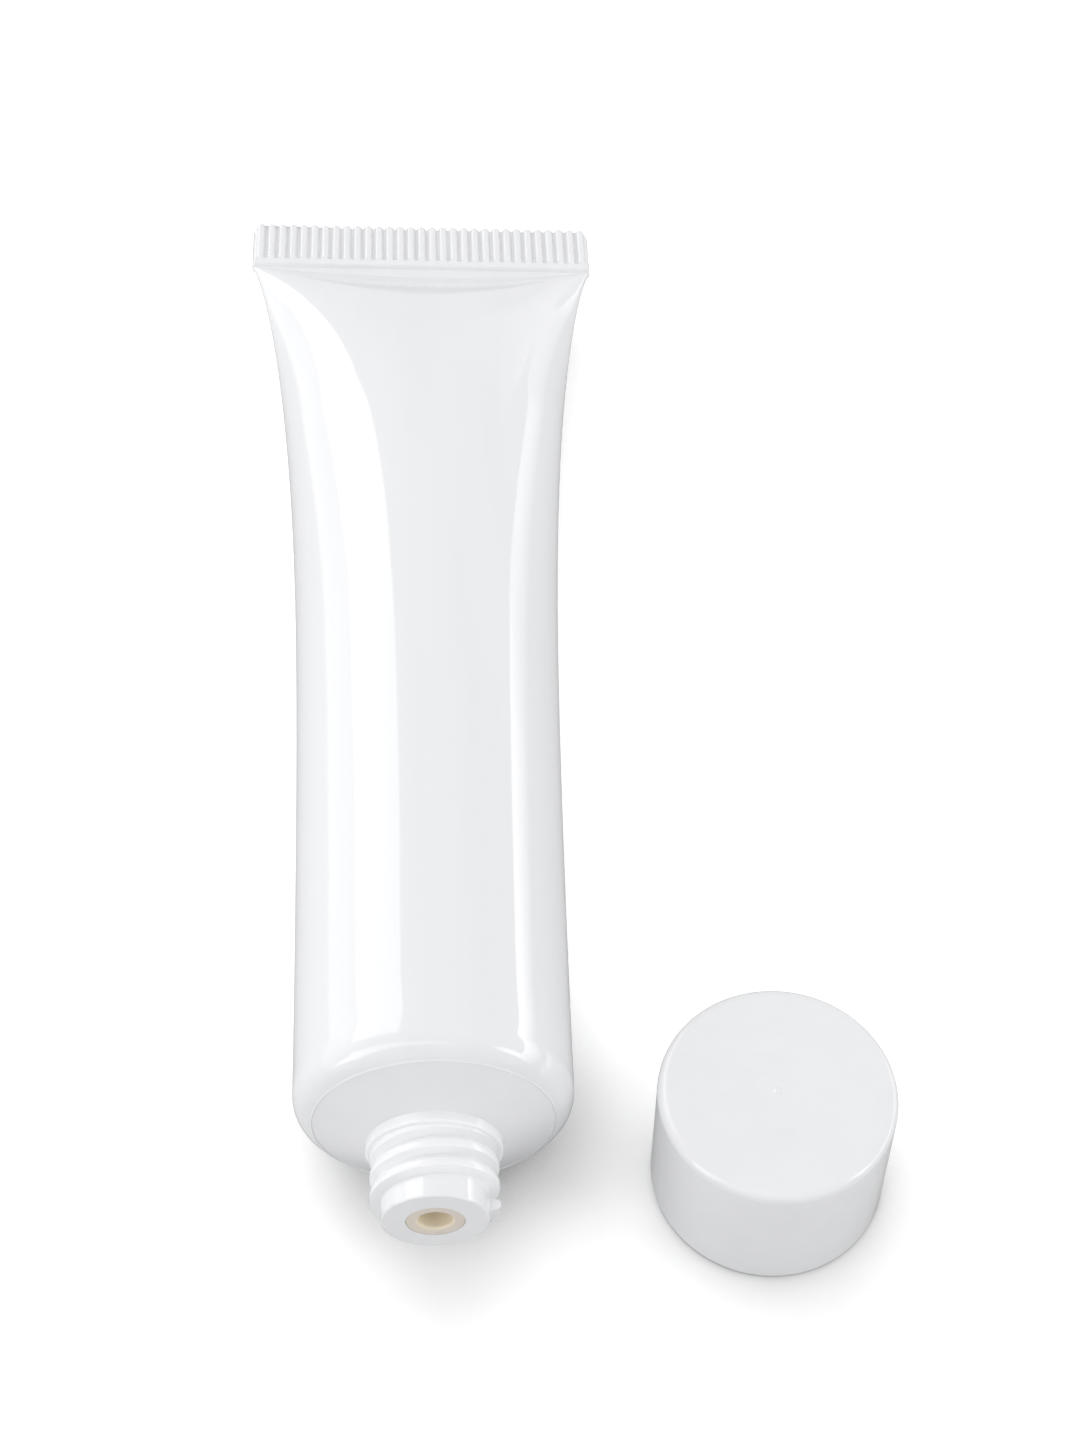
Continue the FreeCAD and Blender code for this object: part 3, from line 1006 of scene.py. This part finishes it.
# ------------------------------------------------------------------ finishes
class Grain(Enum):
    """The way a surface was formed, which sets how its fine texture runs."""

    DRAWN = (1.0, 0.06, 1.0)
    MOULDED = (1.0, 1.0, 1.0)


class SharedEffects:
    """The node groups that more than one finish uses."""

    def __init__(self) -> None:
        """Build each group once."""
        self.skin = self.build_skin()
        self.handling = self.build_handling()

    def group(self, name: str, inputs: dict[str, tuple[str, object]],
              outputs: tuple[str, ...]) -> tuple[Nodes, bpy.types.Node, bpy.types.Node]:
        """Start a node group.

        Args:
            name: the group's name.
            inputs: its inputs, each with a socket type and a default.
            outputs: names of its outputs, all values.

        Returns:
            Its nodes, its input node and its output node.
        """
        tree = bpy.data.node_groups.new(name, "ShaderNodeTree")
        for label, (kind, default) in inputs.items():
            socket = tree.interface.new_socket(label, in_out="INPUT", socket_type=kind)
            if default is not None:
                socket.default_value = default
        for label in outputs:
            tree.interface.new_socket(label, in_out="OUTPUT", socket_type="NodeSocketFloat")
        return Nodes(tree), tree.nodes.new("NodeGroupInput"), tree.nodes.new("NodeGroupOutput")

    def build_skin(self) -> bpy.types.NodeTree:
        """Build the plastic's own surface: long waves from cooling, fine grain and a patchy gloss.

        Returns:
            The group, with outputs Height and Haze.
        """
        nodes, given, out = self.group("plastic_skin", {
            "Vector": ("NodeSocketVector", None),
            "Run": ("NodeSocketVector", (1.0, 1.0, 1.0)),
            "Wave Depth": ("NodeSocketFloat", 1.0),
            "Grain Depth": ("NodeSocketFloat", 0.1),
        }, ("Height", "Haze"))
        place = given.outputs["Vector"]
        stretched = nodes.add("VectorMath", operation="MULTIPLY")
        nodes.feed_all(stretched, place, given.outputs["Run"])
        along = stretched.outputs[0]
        wave = nodes.math("MULTIPLY", nodes.noise(place, 95.0, 1.0), given.outputs["Wave Depth"])
        texture = nodes.math("ADD", nodes.noise(along, 900.0, 2.0), nodes.noise(place, 5200.0, 2.0))
        fine = nodes.math("MULTIPLY", texture, given.outputs["Grain Depth"])
        nodes.feed(out.inputs["Height"], nodes.math("ADD", wave, fine))
        nodes.feed(out.inputs["Haze"], nodes.ramp(nodes.noise(along, 260.0, 4.0), 0.35, 0.7))
        return nodes.tree

    def build_handling(self) -> bpy.types.NodeTree:
        """Build the traces of handling: faint smears, hair-fine rubs and specks of dust.

        Returns:
            The group, with outputs Smear, Rub and Speck.
        """
        nodes, given, out = self.group("handling_traces", {
            "Vector": ("NodeSocketVector", None),
            "Scale": ("NodeSocketFloat", 1.0),
        }, ("Smear", "Rub", "Speck"))
        scaled = nodes.add("VectorMath", operation="SCALE")
        nodes.feed(scaled.inputs[0], given.outputs["Vector"])
        nodes.feed(scaled.inputs["Scale"], given.outputs["Scale"])
        place = scaled.outputs[0]
        nodes.feed(out.inputs["Smear"], nodes.ramp(nodes.noise(place, 120.0, 5.0), 0.52, 0.72))
        turned = nodes.add("Mapping")
        nodes.feed(turned.inputs["Vector"], place)
        nodes.feed(turned.inputs["Rotation"], (0.4, 0.7, 0.5))
        nodes.feed(turned.inputs["Scale"], (1.0, 22.0, 14.0))
        nodes.feed(out.inputs["Rub"], nodes.ramp(nodes.noise(turned.outputs[0], 160.0, 2.0), 0.7, 0.78))
        cells = nodes.add("TexVoronoi")
        nodes.feed(cells.inputs["Vector"], place)
        nodes.feed(cells.inputs["Scale"], 420.0)
        near = nodes.ramp(cells.outputs["Distance"], 0.02, 0.05, 1.0, 0.0)
        chosen = nodes.ramp(nodes.noise(place, 800.0, 1.0), 0.62, 0.66)
        nodes.feed(out.inputs["Speck"], nodes.math("MULTIPLY", near, chosen))
        return nodes.tree


class PlasticNodes(Nodes):
    """The nodes of a plastic, begun with its shader, its own skin and its traces of handling."""

    def __init__(self, name: str, effects: SharedEffects, grain: Grain, fine: float, close: float) -> None:
        """Start the material.

        Args:
            name: the material's name.
            effects: the shared node groups.
            grain: the way the surface was formed.
            fine: depth of its grain, as a share of its long waves.
            close: how closely the traces of handling lie.
        """
        self.material = bpy.data.materials.new(name)
        self.material.use_nodes = True
        super().__init__(self.material.node_tree)
        self.shader = self.tree.nodes["Principled BSDF"]
        self.give("IOR", PLASTIC_IOR)
        self.place = self.add("TexCoord").outputs["Object"]
        skin = self.add("Group", node_tree=effects.skin)
        self.feed_all(skin, self.place, grain.value, 1.0, fine)
        hands = self.add("Group", node_tree=effects.handling)
        self.feed_all(hands, self.place, close)
        self.skin, self.hands = skin.outputs, hands.outputs

    def give(self, socket: str, source: object) -> None:
        """Feed one of the shader's sockets."""
        self.feed(self.shader.inputs[socket], source)

    def patchy(self, clean: float, hazy: float) -> bpy.types.NodeSocket:
        """Return a value that runs from clean to hazy over the skin's patches."""
        return self.ramp(self.skin["Haze"], 0.0, 1.0, clean, hazy)

    def paint_glow(self, share: bpy.types.NodeSocket, glow: Triple) -> None:
        """Paint a glow on the surface, as emission that no lamp gives.

        Args:
            share: how much of the painted glow shows, 0 to 1.
            glow: the painted light where it is 1.
        """
        self.give("Emission Color", self.mix(share, BLACK, glow))
        self.give("Emission Strength", 1.0)

    def emboss(self, depth: float) -> None:
        """Raise the skin's waves and grain from the surface.

        Args:
            depth: their depth, in millimetres.
        """
        bump = self.add("Bump")
        for name, source in (("Strength", 1.0), ("Distance", depth * MM), ("Height", self.skin["Height"])):
            self.feed(bump.inputs[name], source)
        self.give("Normal", bump.outputs["Normal"])


@dataclass(frozen=True)
class PaintedNeckGlow:
    """A painted glow on a stretch of a moulding, as emission, brightest on the flanks that face the tip.

    Args:
        tip: the place of the neck's tip along the tube, in millimetres.
        start: how far behind the tip the painted glow starts.
        end: how far behind the tip it ends.
        soft: how softly it starts and ends.
        glow: the painted light on the flanks that face the tip.
        behind: the share of it on the flanks that face the tail.
        flank: the direction along the tube that a flank faces where the painted light is full, and least.
    """

    tip: float
    start: float = 2.1
    end: float = 6.9
    soft: float = 0.3
    glow: Triple = (0.09, 0.09, 0.088)
    behind: float = 0.25
    flank: Point = (-0.7, 0.1)

    def show(self, nodes: PlasticNodes) -> None:
        """Add the painted glow to a material.

        Args:
            nodes: the material's nodes.
        """
        here = nodes.add("TexCoord")
        place, facing = nodes.add("SeparateXYZ"), nodes.add("SeparateXYZ")
        nodes.feed_all(place, here.outputs["Object"])
        nodes.feed_all(facing, here.outputs["Normal"])
        start, end, soft = (self.tip + self.start) * MM, (self.tip + self.end) * MM, self.soft * MM
        starts = nodes.ramp(place.outputs["Y"], start - soft, start + soft)
        ends = nodes.ramp(place.outputs["Y"], end - soft, end + soft, 1.0, 0.0)
        along = nodes.math("MULTIPLY", starts, ends)
        flank = nodes.ramp(facing.outputs["Y"], *self.flank, 1.0, self.behind)
        # Painted light: emission over this stretch, brighter on the flanks that face the tip.
        nodes.paint_glow(nodes.math("MULTIPLY", along, flank), self.glow)


@dataclass(frozen=True)
class GlossPlastic:
    """A glossy opaque white moulding or extrusion.

    Args:
        name: the material's name.
        grain: the way it was formed.
        gloss: roughness where it is cleanest.
        dull: roughness where it is haziest.
        wave: depth of its long waves, in millimetres.
        fine: depth of its grain, as a share of the waves.
        traces: how much handling shows, 0 to 1.
        painted_glow: the painted glow on a stretch of it, if it has one.
        colour: linear base colour.
        shade: the colour of its slightly greyer patches.
        patchiness: the most of that colour in a patch.
        dust: the colour of the specks.
        rubbed: how much rougher the rubs are.
    """

    name: str
    grain: Grain
    gloss: float
    dull: float
    wave: float
    fine: float
    traces: float
    painted_glow: PaintedNeckGlow | None = None
    colour: Triple = (0.835, 0.84, 0.855)
    shade: Triple = (0.81, 0.815, 0.828)
    patchiness: float = 0.5
    dust: Triple = (0.62, 0.6, 0.57)
    rubbed: float = 0.12

    def material(self, effects: SharedEffects) -> bpy.types.Material:
        """Build the material.

        Args:
            effects: the shared node groups.

        Returns:
            The material.
        """
        nodes = PlasticNodes(self.name, effects, self.grain, self.fine, 1.0)
        haze = nodes.patchy(self.gloss, (self.gloss + self.dull) / 2)
        smear = nodes.math("MULTIPLY", nodes.hands["Smear"], self.traces * (self.dull - self.gloss))
        rub = nodes.math("MULTIPLY", nodes.hands["Rub"], self.traces * self.rubbed)
        nodes.give("Roughness", nodes.math("ADD", nodes.math("ADD", haze, smear), rub))
        patch = nodes.mix(nodes.patchy(0.0, self.patchiness), self.colour, self.shade)
        speck = nodes.math("MULTIPLY", nodes.hands["Speck"], self.traces)
        nodes.give("Base Color", nodes.mix(speck, patch, self.dust))
        # Painted light: an emission glow on part of the surface, if the finish has one.
        if self.painted_glow:
            self.painted_glow.show(nodes)
        nodes.emboss(self.wave)
        return nodes.material


@dataclass(frozen=True)
class NaturalPlastic:
    """Unpigmented plastic, with a painted glow down its bore.

    Args:
        name: the material's name.
        axis: a point on the bore's axis, in metres.
        bore: the bore's radius, in metres.
        face: linear colour of its front face.
        deep: linear colour down the bore.
        glow: the painted light down the bore.
        edge: where the bore's colour starts to fade and ends, as shares of its radius.
        gloss: roughness where it is cleanest.
        dull: roughness where it is haziest.
        smeared: how much rougher the smears are.
        cloudiness: the most of the deep colour in the face's patches.
        wave: depth of its long waves, in millimetres.
        fine: depth of its grain, as a share of the waves.
    """

    name: str
    axis: Triple
    bore: float
    face: Triple = (0.713, 0.65, 0.583)
    deep: Triple = (0.76, 0.68, 0.54)
    glow: Triple = (0.055, 0.048, 0.036)
    edge: Point = (1.02, 1.22)
    gloss: float = 0.22
    dull: float = 0.34
    smeared: float = 0.12
    cloudiness: float = 0.25
    wave: float = 0.01
    fine: float = 0.5

    def material(self, effects: SharedEffects) -> bpy.types.Material:
        """Build the material.

        Args:
            effects: the shared node groups.

        Returns:
            The material.
        """
        nodes = PlasticNodes(self.name, effects, Grain.MOULDED, self.fine, 2.0)
        from_axis = nodes.add("VectorMath", operation="SUBTRACT")
        nodes.feed_all(from_axis, nodes.place, self.axis)
        apart = nodes.add("SeparateXYZ")
        nodes.feed_all(apart, from_axis.outputs[0])
        across, up = (nodes.math("POWER", apart.outputs[name], 2.0) for name in "XZ")
        radius = nodes.math("SQRT", nodes.math("ADD", across, up))
        inside = nodes.ramp(radius, self.bore * self.edge[0], self.bore * self.edge[1], 1.0, 0.0)
        cream = nodes.mix(nodes.patchy(0.0, self.cloudiness), self.face, self.deep)
        nodes.give("Base Color", nodes.mix(inside, cream, self.deep))
        smear = nodes.math("MULTIPLY", nodes.hands["Smear"], self.smeared)
        nodes.give("Roughness", nodes.math("ADD", nodes.patchy(self.gloss, self.dull), smear))
        # Painted light: the bore glows, as emission that no lamp gives.
        nodes.paint_glow(inside, self.glow)
        nodes.emboss(self.wave)
        return nodes.material


# ------------------------------------------------------------------ studio
def upright(x: float, *stations: tuple[float, float, float, float]) -> tuple[Rib, ...]:
    """Return the ribs of a panel that stands on the floor along the tube.

    Args:
        x: where it stands.
        stations: for each rib its y, its top's height, and its brightness at the foot and the top.

    Returns:
        The ribs.
    """
    return tuple(((x, y, 0.0), (x, y, top), low, high) for y, top, low, high in stations)


@dataclass(frozen=True)
class Panel:
    """A glowing sheet that only the gloss shows.

    Args:
        name: the panel's name.
        ribs: its cross lines in order, each with its two ends in metres and its brightness at each
            end, where white is 1.
    """

    name: str
    ribs: tuple[Rib, ...]

    def hang(self) -> None:
        """Hang the panel where only reflections show it."""
        near, far, near_levels, far_levels = zip(*self.ribs)
        count = len(near)
        mesh = bpy.data.meshes.new(self.name)
        mesh.from_pydata([*near, *far], [], [(i, i + 1, count + i + 1, count + i) for i in range(count - 1)])
        glow_at = mesh.attributes.new("glow", "FLOAT", "POINT")
        glow_at.data.foreach_set("value", [*near_levels, *far_levels])
        panel = bpy.data.objects.new(self.name, mesh)
        bpy.context.scene.collection.objects.link(panel)
        panel.visible_camera = False
        panel.visible_diffuse = False
        panel.visible_shadow = False
        mat, nodes, out = bare_material(self.name)
        level, glow = nodes.add("Attribute", attribute_name="glow"), nodes.add("Emission")
        nodes.feed(glow.inputs["Strength"], level.outputs["Fac"])
        nodes.feed_all(out, glow.outputs[0])
        mesh.materials.append(mat)


@dataclass(frozen=True)
class Lamp:
    """A soft square lamp that reflections don't show.

    Args:
        name: the lamp's name.
        place: where it hangs, in metres.
        aim: the point it shines at.
        size: its side.
        share: the light it gives a surface that faces it, where 1 shows a colour as written.
    """

    name: str
    place: Triple
    aim: Triple
    size: float
    share: float

    def hang(self) -> None:
        """Hang the lamp."""
        data = bpy.data.lights.new(self.name, "AREA")
        data.size = self.size
        away = Vector(self.place) - Vector(self.aim)
        data.energy = self.share * math.pi**2 * away.length_squared
        lamp = bpy.data.objects.new(self.name, data)
        bpy.context.scene.collection.objects.link(lamp)
        lamp.location = self.place
        lamp.rotation_mode = "QUATERNION"
        lamp.rotation_quaternion = away.to_track_quat("Z", "Y")
        lamp.visible_glossy = False


PANELS = (
    Panel("key_panel", (
        ((-0.6, 0.05, 0.315), (-0.32, 0.05, 0.7), 3.2, 3.2),
        ((-0.6, 0.42, 0.315), (-0.31, 0.42, 0.7), 3.2, 3.2),
        ((-0.6, 0.6, 0.315), (-0.295, 0.6, 0.7), 3.2, 3.2),
        ((-0.6, 0.8, 0.32), (-0.3, 0.8, 0.7), 3.2, 3.2),
        ((-0.6, 1.05, 0.36), (-0.35, 1.05, 0.71), 3.2, 3.2),
        ((-0.6, 1.35, 0.4), (-0.45, 1.35, 0.69), 3.2, 3.2),
        ((-0.6, 1.7, 0.46), (-0.55, 1.7, 0.6), 3.2, 3.2))),
    Panel("left_panel", upright(-0.62, (0.3, 0.315, 1.5, 1.5), (0.8, 0.32, 1.5, 1.5), (1.6, 0.45, 1.5, 1.5))),
    Panel("left_near_panel", upright(
        -0.62, (-0.3, 0.28, 1.05, 1.05), (0.18, 0.28, 1.05, 1.05), (0.3, 0.28, 1.2, 1.2))),
    Panel("front_low_panel", (
        ((-0.35, -0.9, 0.17), (-0.35, -0.9, 0.27), 1.6, 1.6),
        ((0.2, -0.9, 0.17), (0.2, -0.9, 0.27), 1.6, 1.6))),
    Panel("right_strip", upright(
        0.6, (-0.36, 0.165, 1.2, 4.6), (0.34, 0.175, 1.2, 5.2), (0.46, 0.18, 1.1, 4.4),
        (0.62, 0.19, 1.0, 2.8), (0.76, 0.21, 0.9, 1.8), (0.95, 0.27, 0.9, 1.6), (1.4, 0.42, 0.9, 1.7))),
    Panel("back_right_panel", (
        ((0.1, 1.5, 0.36), (0.1, 1.5, 0.7), 1.0, 1.0),
        ((0.45, 1.44, 0.32), (0.45, 1.44, 0.7), 1.5, 1.1),
        ((0.85, 1.3, 0.3), (0.85, 1.3, 0.7), 1.9, 1.2))),
    Panel("left_front_panel", (
        ((-0.83, -0.43, 0.0), (-0.89, -0.25, 0.09), 3.0, 2.4),
        ((-0.8, -0.48, 0.12), (-0.87, -0.23, 0.24), 4.5, 3.4),
        ((-0.7, -0.59, 0.24), (-0.78, -0.3, 0.42), 4.5, 3.4),
        ((-0.57, -0.6, 0.46), (-0.61, -0.38, 0.61), 3.6, 2.8),
        ((-0.43, -0.6, 0.59), (-0.46, -0.4, 0.73), 2.6, 2.2))),
    Panel("front_line", (
        ((-0.43, -0.6, 0.59), (-0.46, -0.42, 0.73), 2.6, 2.2),
        ((-0.15, -0.66, 0.66), (-0.15, -0.52, 0.76), 2.3, 2.3),
        ((0.09, -0.66, 0.675), (0.09, -0.55, 0.76), 2.5, 2.5),
        ((0.3, -0.66, 0.6), (0.3, -0.56, 0.68), 1.0, 1.0))),
    Panel("right_front_panel", (
        ((0.62, -0.54, 0.45), (0.66, -0.4, 0.52), 2.4, 2.4),
        ((0.7, -0.54, 0.33), (0.74, -0.36, 0.43), 4.5, 4.5),
        ((0.75, -0.53, 0.21), (0.8, -0.34, 0.31), 5.0, 5.0),
        ((0.79, -0.5, 0.08), (0.85, -0.32, 0.17), 5.0, 5.0),
        ((0.83, -0.42, 0.0), (0.88, -0.29, 0.02), 4.5, 4.5))),
)

LAMPS = (
    Lamp("overhead_lamp", (-0.08, 0.26, 0.87), (0.0, 0.0, 0.01), 0.6, 0.285),
    Lamp("left_lamp", (-0.72, -0.35, 0.2), (0.0, -0.03, 0.01), 0.5, 0.19),
    Lamp("left_back_lamp", (-0.8, 0.3, 0.16), (0.0, 0.0, 0.01), 0.5, 0.22),
    Lamp("right_lamp", (0.75, -0.25, 0.16), (0.0, 0.0, 0.01), 0.5, 0.34),
    Lamp("front_lamp", (-0.5, -0.62, 0.42), (0.0, -0.05, 0.01), 0.4, 0.09),
)


@dataclass
class Studio:
    """Floor, lights, world and camera."""

    # Light of the world, where white is 1.
    world_level: float = 0.62

    # The floor's grey in bounced light, in reflections, and as it is looked at in front and behind. In
    # reflections it is greyer, a painted shade that darkens the pieces' edges. Looked at behind, it is
    # painted lighter and has a painted glow, which together wash out the shadows round the raised tail.
    floor_bounce: float = 0.72
    floor_mirrored: float = 0.5
    floor_front: float = 1.13
    floor_back: float = 1.25
    front_y: float = -0.056
    back_y: float = -0.03
    painted_back_glow: float = 0.12

    # Painted shade: how far an occlusion test reaches and how much it darkens the floor's colour in corners,
    # and where the floor goes over into plain white.
    corner_reach: float = 0.011
    corner_dark: float = 0.8
    corner_open: float = 0.75
    corner_samples: int = 6
    far_start: float = 0.2
    far_end: float = 0.6

    # Half the floor's side, and the gap between it and the pieces.
    floor_half: float = 4.0
    floor_gap: float = 0.00002

    # The camera: its lens and sensor in millimetres, the nearest it sees, its place and its direction.
    lens: float = 59.9
    sensor: float = 36.0
    nearest: float = 0.01
    camera_place: Triple = (-0.00528, -0.15740, 0.20121)
    camera_looks: Triple = (0.02505, 0.6152, -0.7880)

    def build_world(self) -> None:
        """Light the scene evenly and show white behind it."""
        world = bpy.data.worlds.new("studio_world")
        bpy.context.scene.world = world
        world.use_nodes = True
        nodes = Nodes(world.node_tree)
        nodes.tree.nodes.clear()
        out, whole = nodes.add("OutputWorld"), nodes.add("MixShader")
        light, white = nodes.add("Background"), nodes.add("Background")
        nodes.feed_all(light, WHITE, self.world_level)
        nodes.feed_all(white, WHITE, 1.0)
        nodes.feed_all(whole, nodes.viewed(nodes.add("LightPath")), light.outputs[0], white.outputs[0])
        nodes.feed_all(out, whole.outputs[0])

    def build_floor(self, floor_z: float) -> None:
        """Lay a white floor that keeps the shadows in front, with painted shade in its corners and painted
        light behind, and goes over into the white behind it.

        Args:
            floor_z: the floor's height, in millimetres.
        """
        mesh, s = bpy.data.meshes.new("floor"), self.floor_half
        mesh.from_pydata([(-s, -s, 0), (s, -s, 0), (s, s, 0), (-s, s, 0)], [], [(0, 1, 2, 3)])
        floor = bpy.data.objects.new("floor", mesh)
        bpy.context.scene.collection.objects.link(floor)
        floor.location.z = floor_z * MM - self.floor_gap
        mesh.materials.append(self.floor_paint())

    def floor_paint(self) -> bpy.types.Material:
        """Build the floor's white, which differs for what is looked at, bounced and mirrored. Looked at, it
        has painted shade in its corners and painted light behind. Mirrored, it is greyer, a painted shade on
        the pieces' edges.

        Returns:
            The material.
        """
        mat, nodes, out = bare_material("floor_white")
        place = nodes.add("TexCoord").outputs["Object"]
        apart, away = nodes.add("SeparateXYZ"), nodes.add("VectorMath", operation="LENGTH")
        nodes.feed_all(apart, place)
        nodes.feed_all(away, place)
        back = nodes.ramp(apart.outputs["Y"], self.front_y, self.back_y)
        far = nodes.ramp(away.outputs["Value"], self.far_start, self.far_end)

        # Painted shade: in front, the floor's colour darkens where an occlusion test finds the pieces close.
        corner = nodes.add("AmbientOcclusion", samples=self.corner_samples)
        nodes.feed(corner.inputs["Distance"], self.corner_reach)
        painted_corner_shade = nodes.ramp(corner.outputs["AO"], 0.0, self.corner_open, self.corner_dark, 0.0)
        front = nodes.mix(painted_corner_shade, (self.floor_front,) * 3, BLACK)
        # Painted light: behind, the floor looked at is lighter, which washes out the shadows round the raised
        # tail.
        shown = nodes.mix(back, front, (self.floor_back,) * 3)

        path = nodes.add("LightPath")
        seen, mirrored = path.outputs["Is Camera Ray"], path.outputs["Is Glossy Ray"]
        # Painted shade: the floor is greyer in reflections than in bounced light, which darkens the pieces'
        # edges.
        plain = nodes.mix(mirrored, (self.floor_bounce,) * 3, (self.floor_mirrored,) * 3)
        paint, glow, white = nodes.add("BsdfDiffuse"), nodes.add("Emission"), nodes.add("Emission")
        nodes.feed(paint.inputs["Color"], nodes.mix(seen, plain, shown))
        # Painted light: a glow on the floor behind.
        nodes.feed(glow.inputs["Strength"], nodes.math("MULTIPLY", back, self.painted_back_glow))
        nodes.feed(white.inputs["Strength"], 1.0)

        lifted, near, whole = nodes.add("AddShader"), nodes.add("MixShader"), nodes.add("MixShader")
        nodes.feed_all(lifted, paint.outputs[0], glow.outputs[0])
        nodes.feed_all(near, seen, paint.outputs[0], lifted.outputs[0])
        shows_white = nodes.math("MULTIPLY", nodes.viewed(path), far)
        nodes.feed_all(whole, shows_white, near.outputs[0], white.outputs[0])
        nodes.feed_all(out, whole.outputs[0])
        return mat

    def build_lights(self) -> None:
        """Hang the panels that the gloss shows and the lamps that light the plastic."""
        for light in (*PANELS, *LAMPS):
            light.hang()

    def build_camera(self) -> None:
        """Set the camera."""
        data = bpy.data.cameras.new("camera")
        data.lens = self.lens
        data.sensor_width = self.sensor
        data.clip_start = self.nearest
        camera = bpy.data.objects.new("camera", data)
        bpy.context.scene.collection.objects.link(camera)
        camera.location = self.camera_place
        camera.rotation_mode = "QUATERNION"
        camera.rotation_quaternion = Vector(self.camera_looks).to_track_quat("-Z", "Y")
        bpy.context.scene.camera = camera


def main() -> None:
    """Build everything."""
    logging.basicConfig(level=logging.INFO)
    bpy.context.scene.view_settings.view_transform = "Standard"
    sleeve, head, plug, cap = Sleeve(), Head(), OrificeInsert(), Cap()
    place = Placement.from_frame(head.tip())
    studio = Studio()
    studio.build_world()
    studio.build_floor(place.floor_z)
    studio.build_lights()
    studio.build_camera()

    effects = SharedEffects()
    drawn = GlossPlastic(
        "sleeve_gloss", Grain.DRAWN, gloss=0.035, dull=0.1, wave=0.02, fine=0.02, traces=0.35)
    moulded = GlossPlastic(
        "head_gloss", Grain.MOULDED, gloss=0.03, dull=0.09, wave=0.02, fine=0.03, traces=0.3,
        # The neck carries a painted glow.
        painted_glow=PaintedNeckGlow(place.tip_y))
    lidded = GlossPlastic(
        "cap_gloss", Grain.MOULDED, gloss=0.04, dull=0.11, wave=0.025, fine=0.04, traces=0.4)
    natural = NaturalPlastic(
        "natural_polymer", axis=(place.axis_x * MM, 0.0, place.axis_z * MM), bore=plug.orifice * MM)

    sleeve.build(place, drawn.material(effects))
    head.dress(moulded.material(effects))
    plug.build(place, head.tip(), natural.material(effects))
    cap.build(place, lidded.material(effects))


if __name__ == "__main__":
    main()
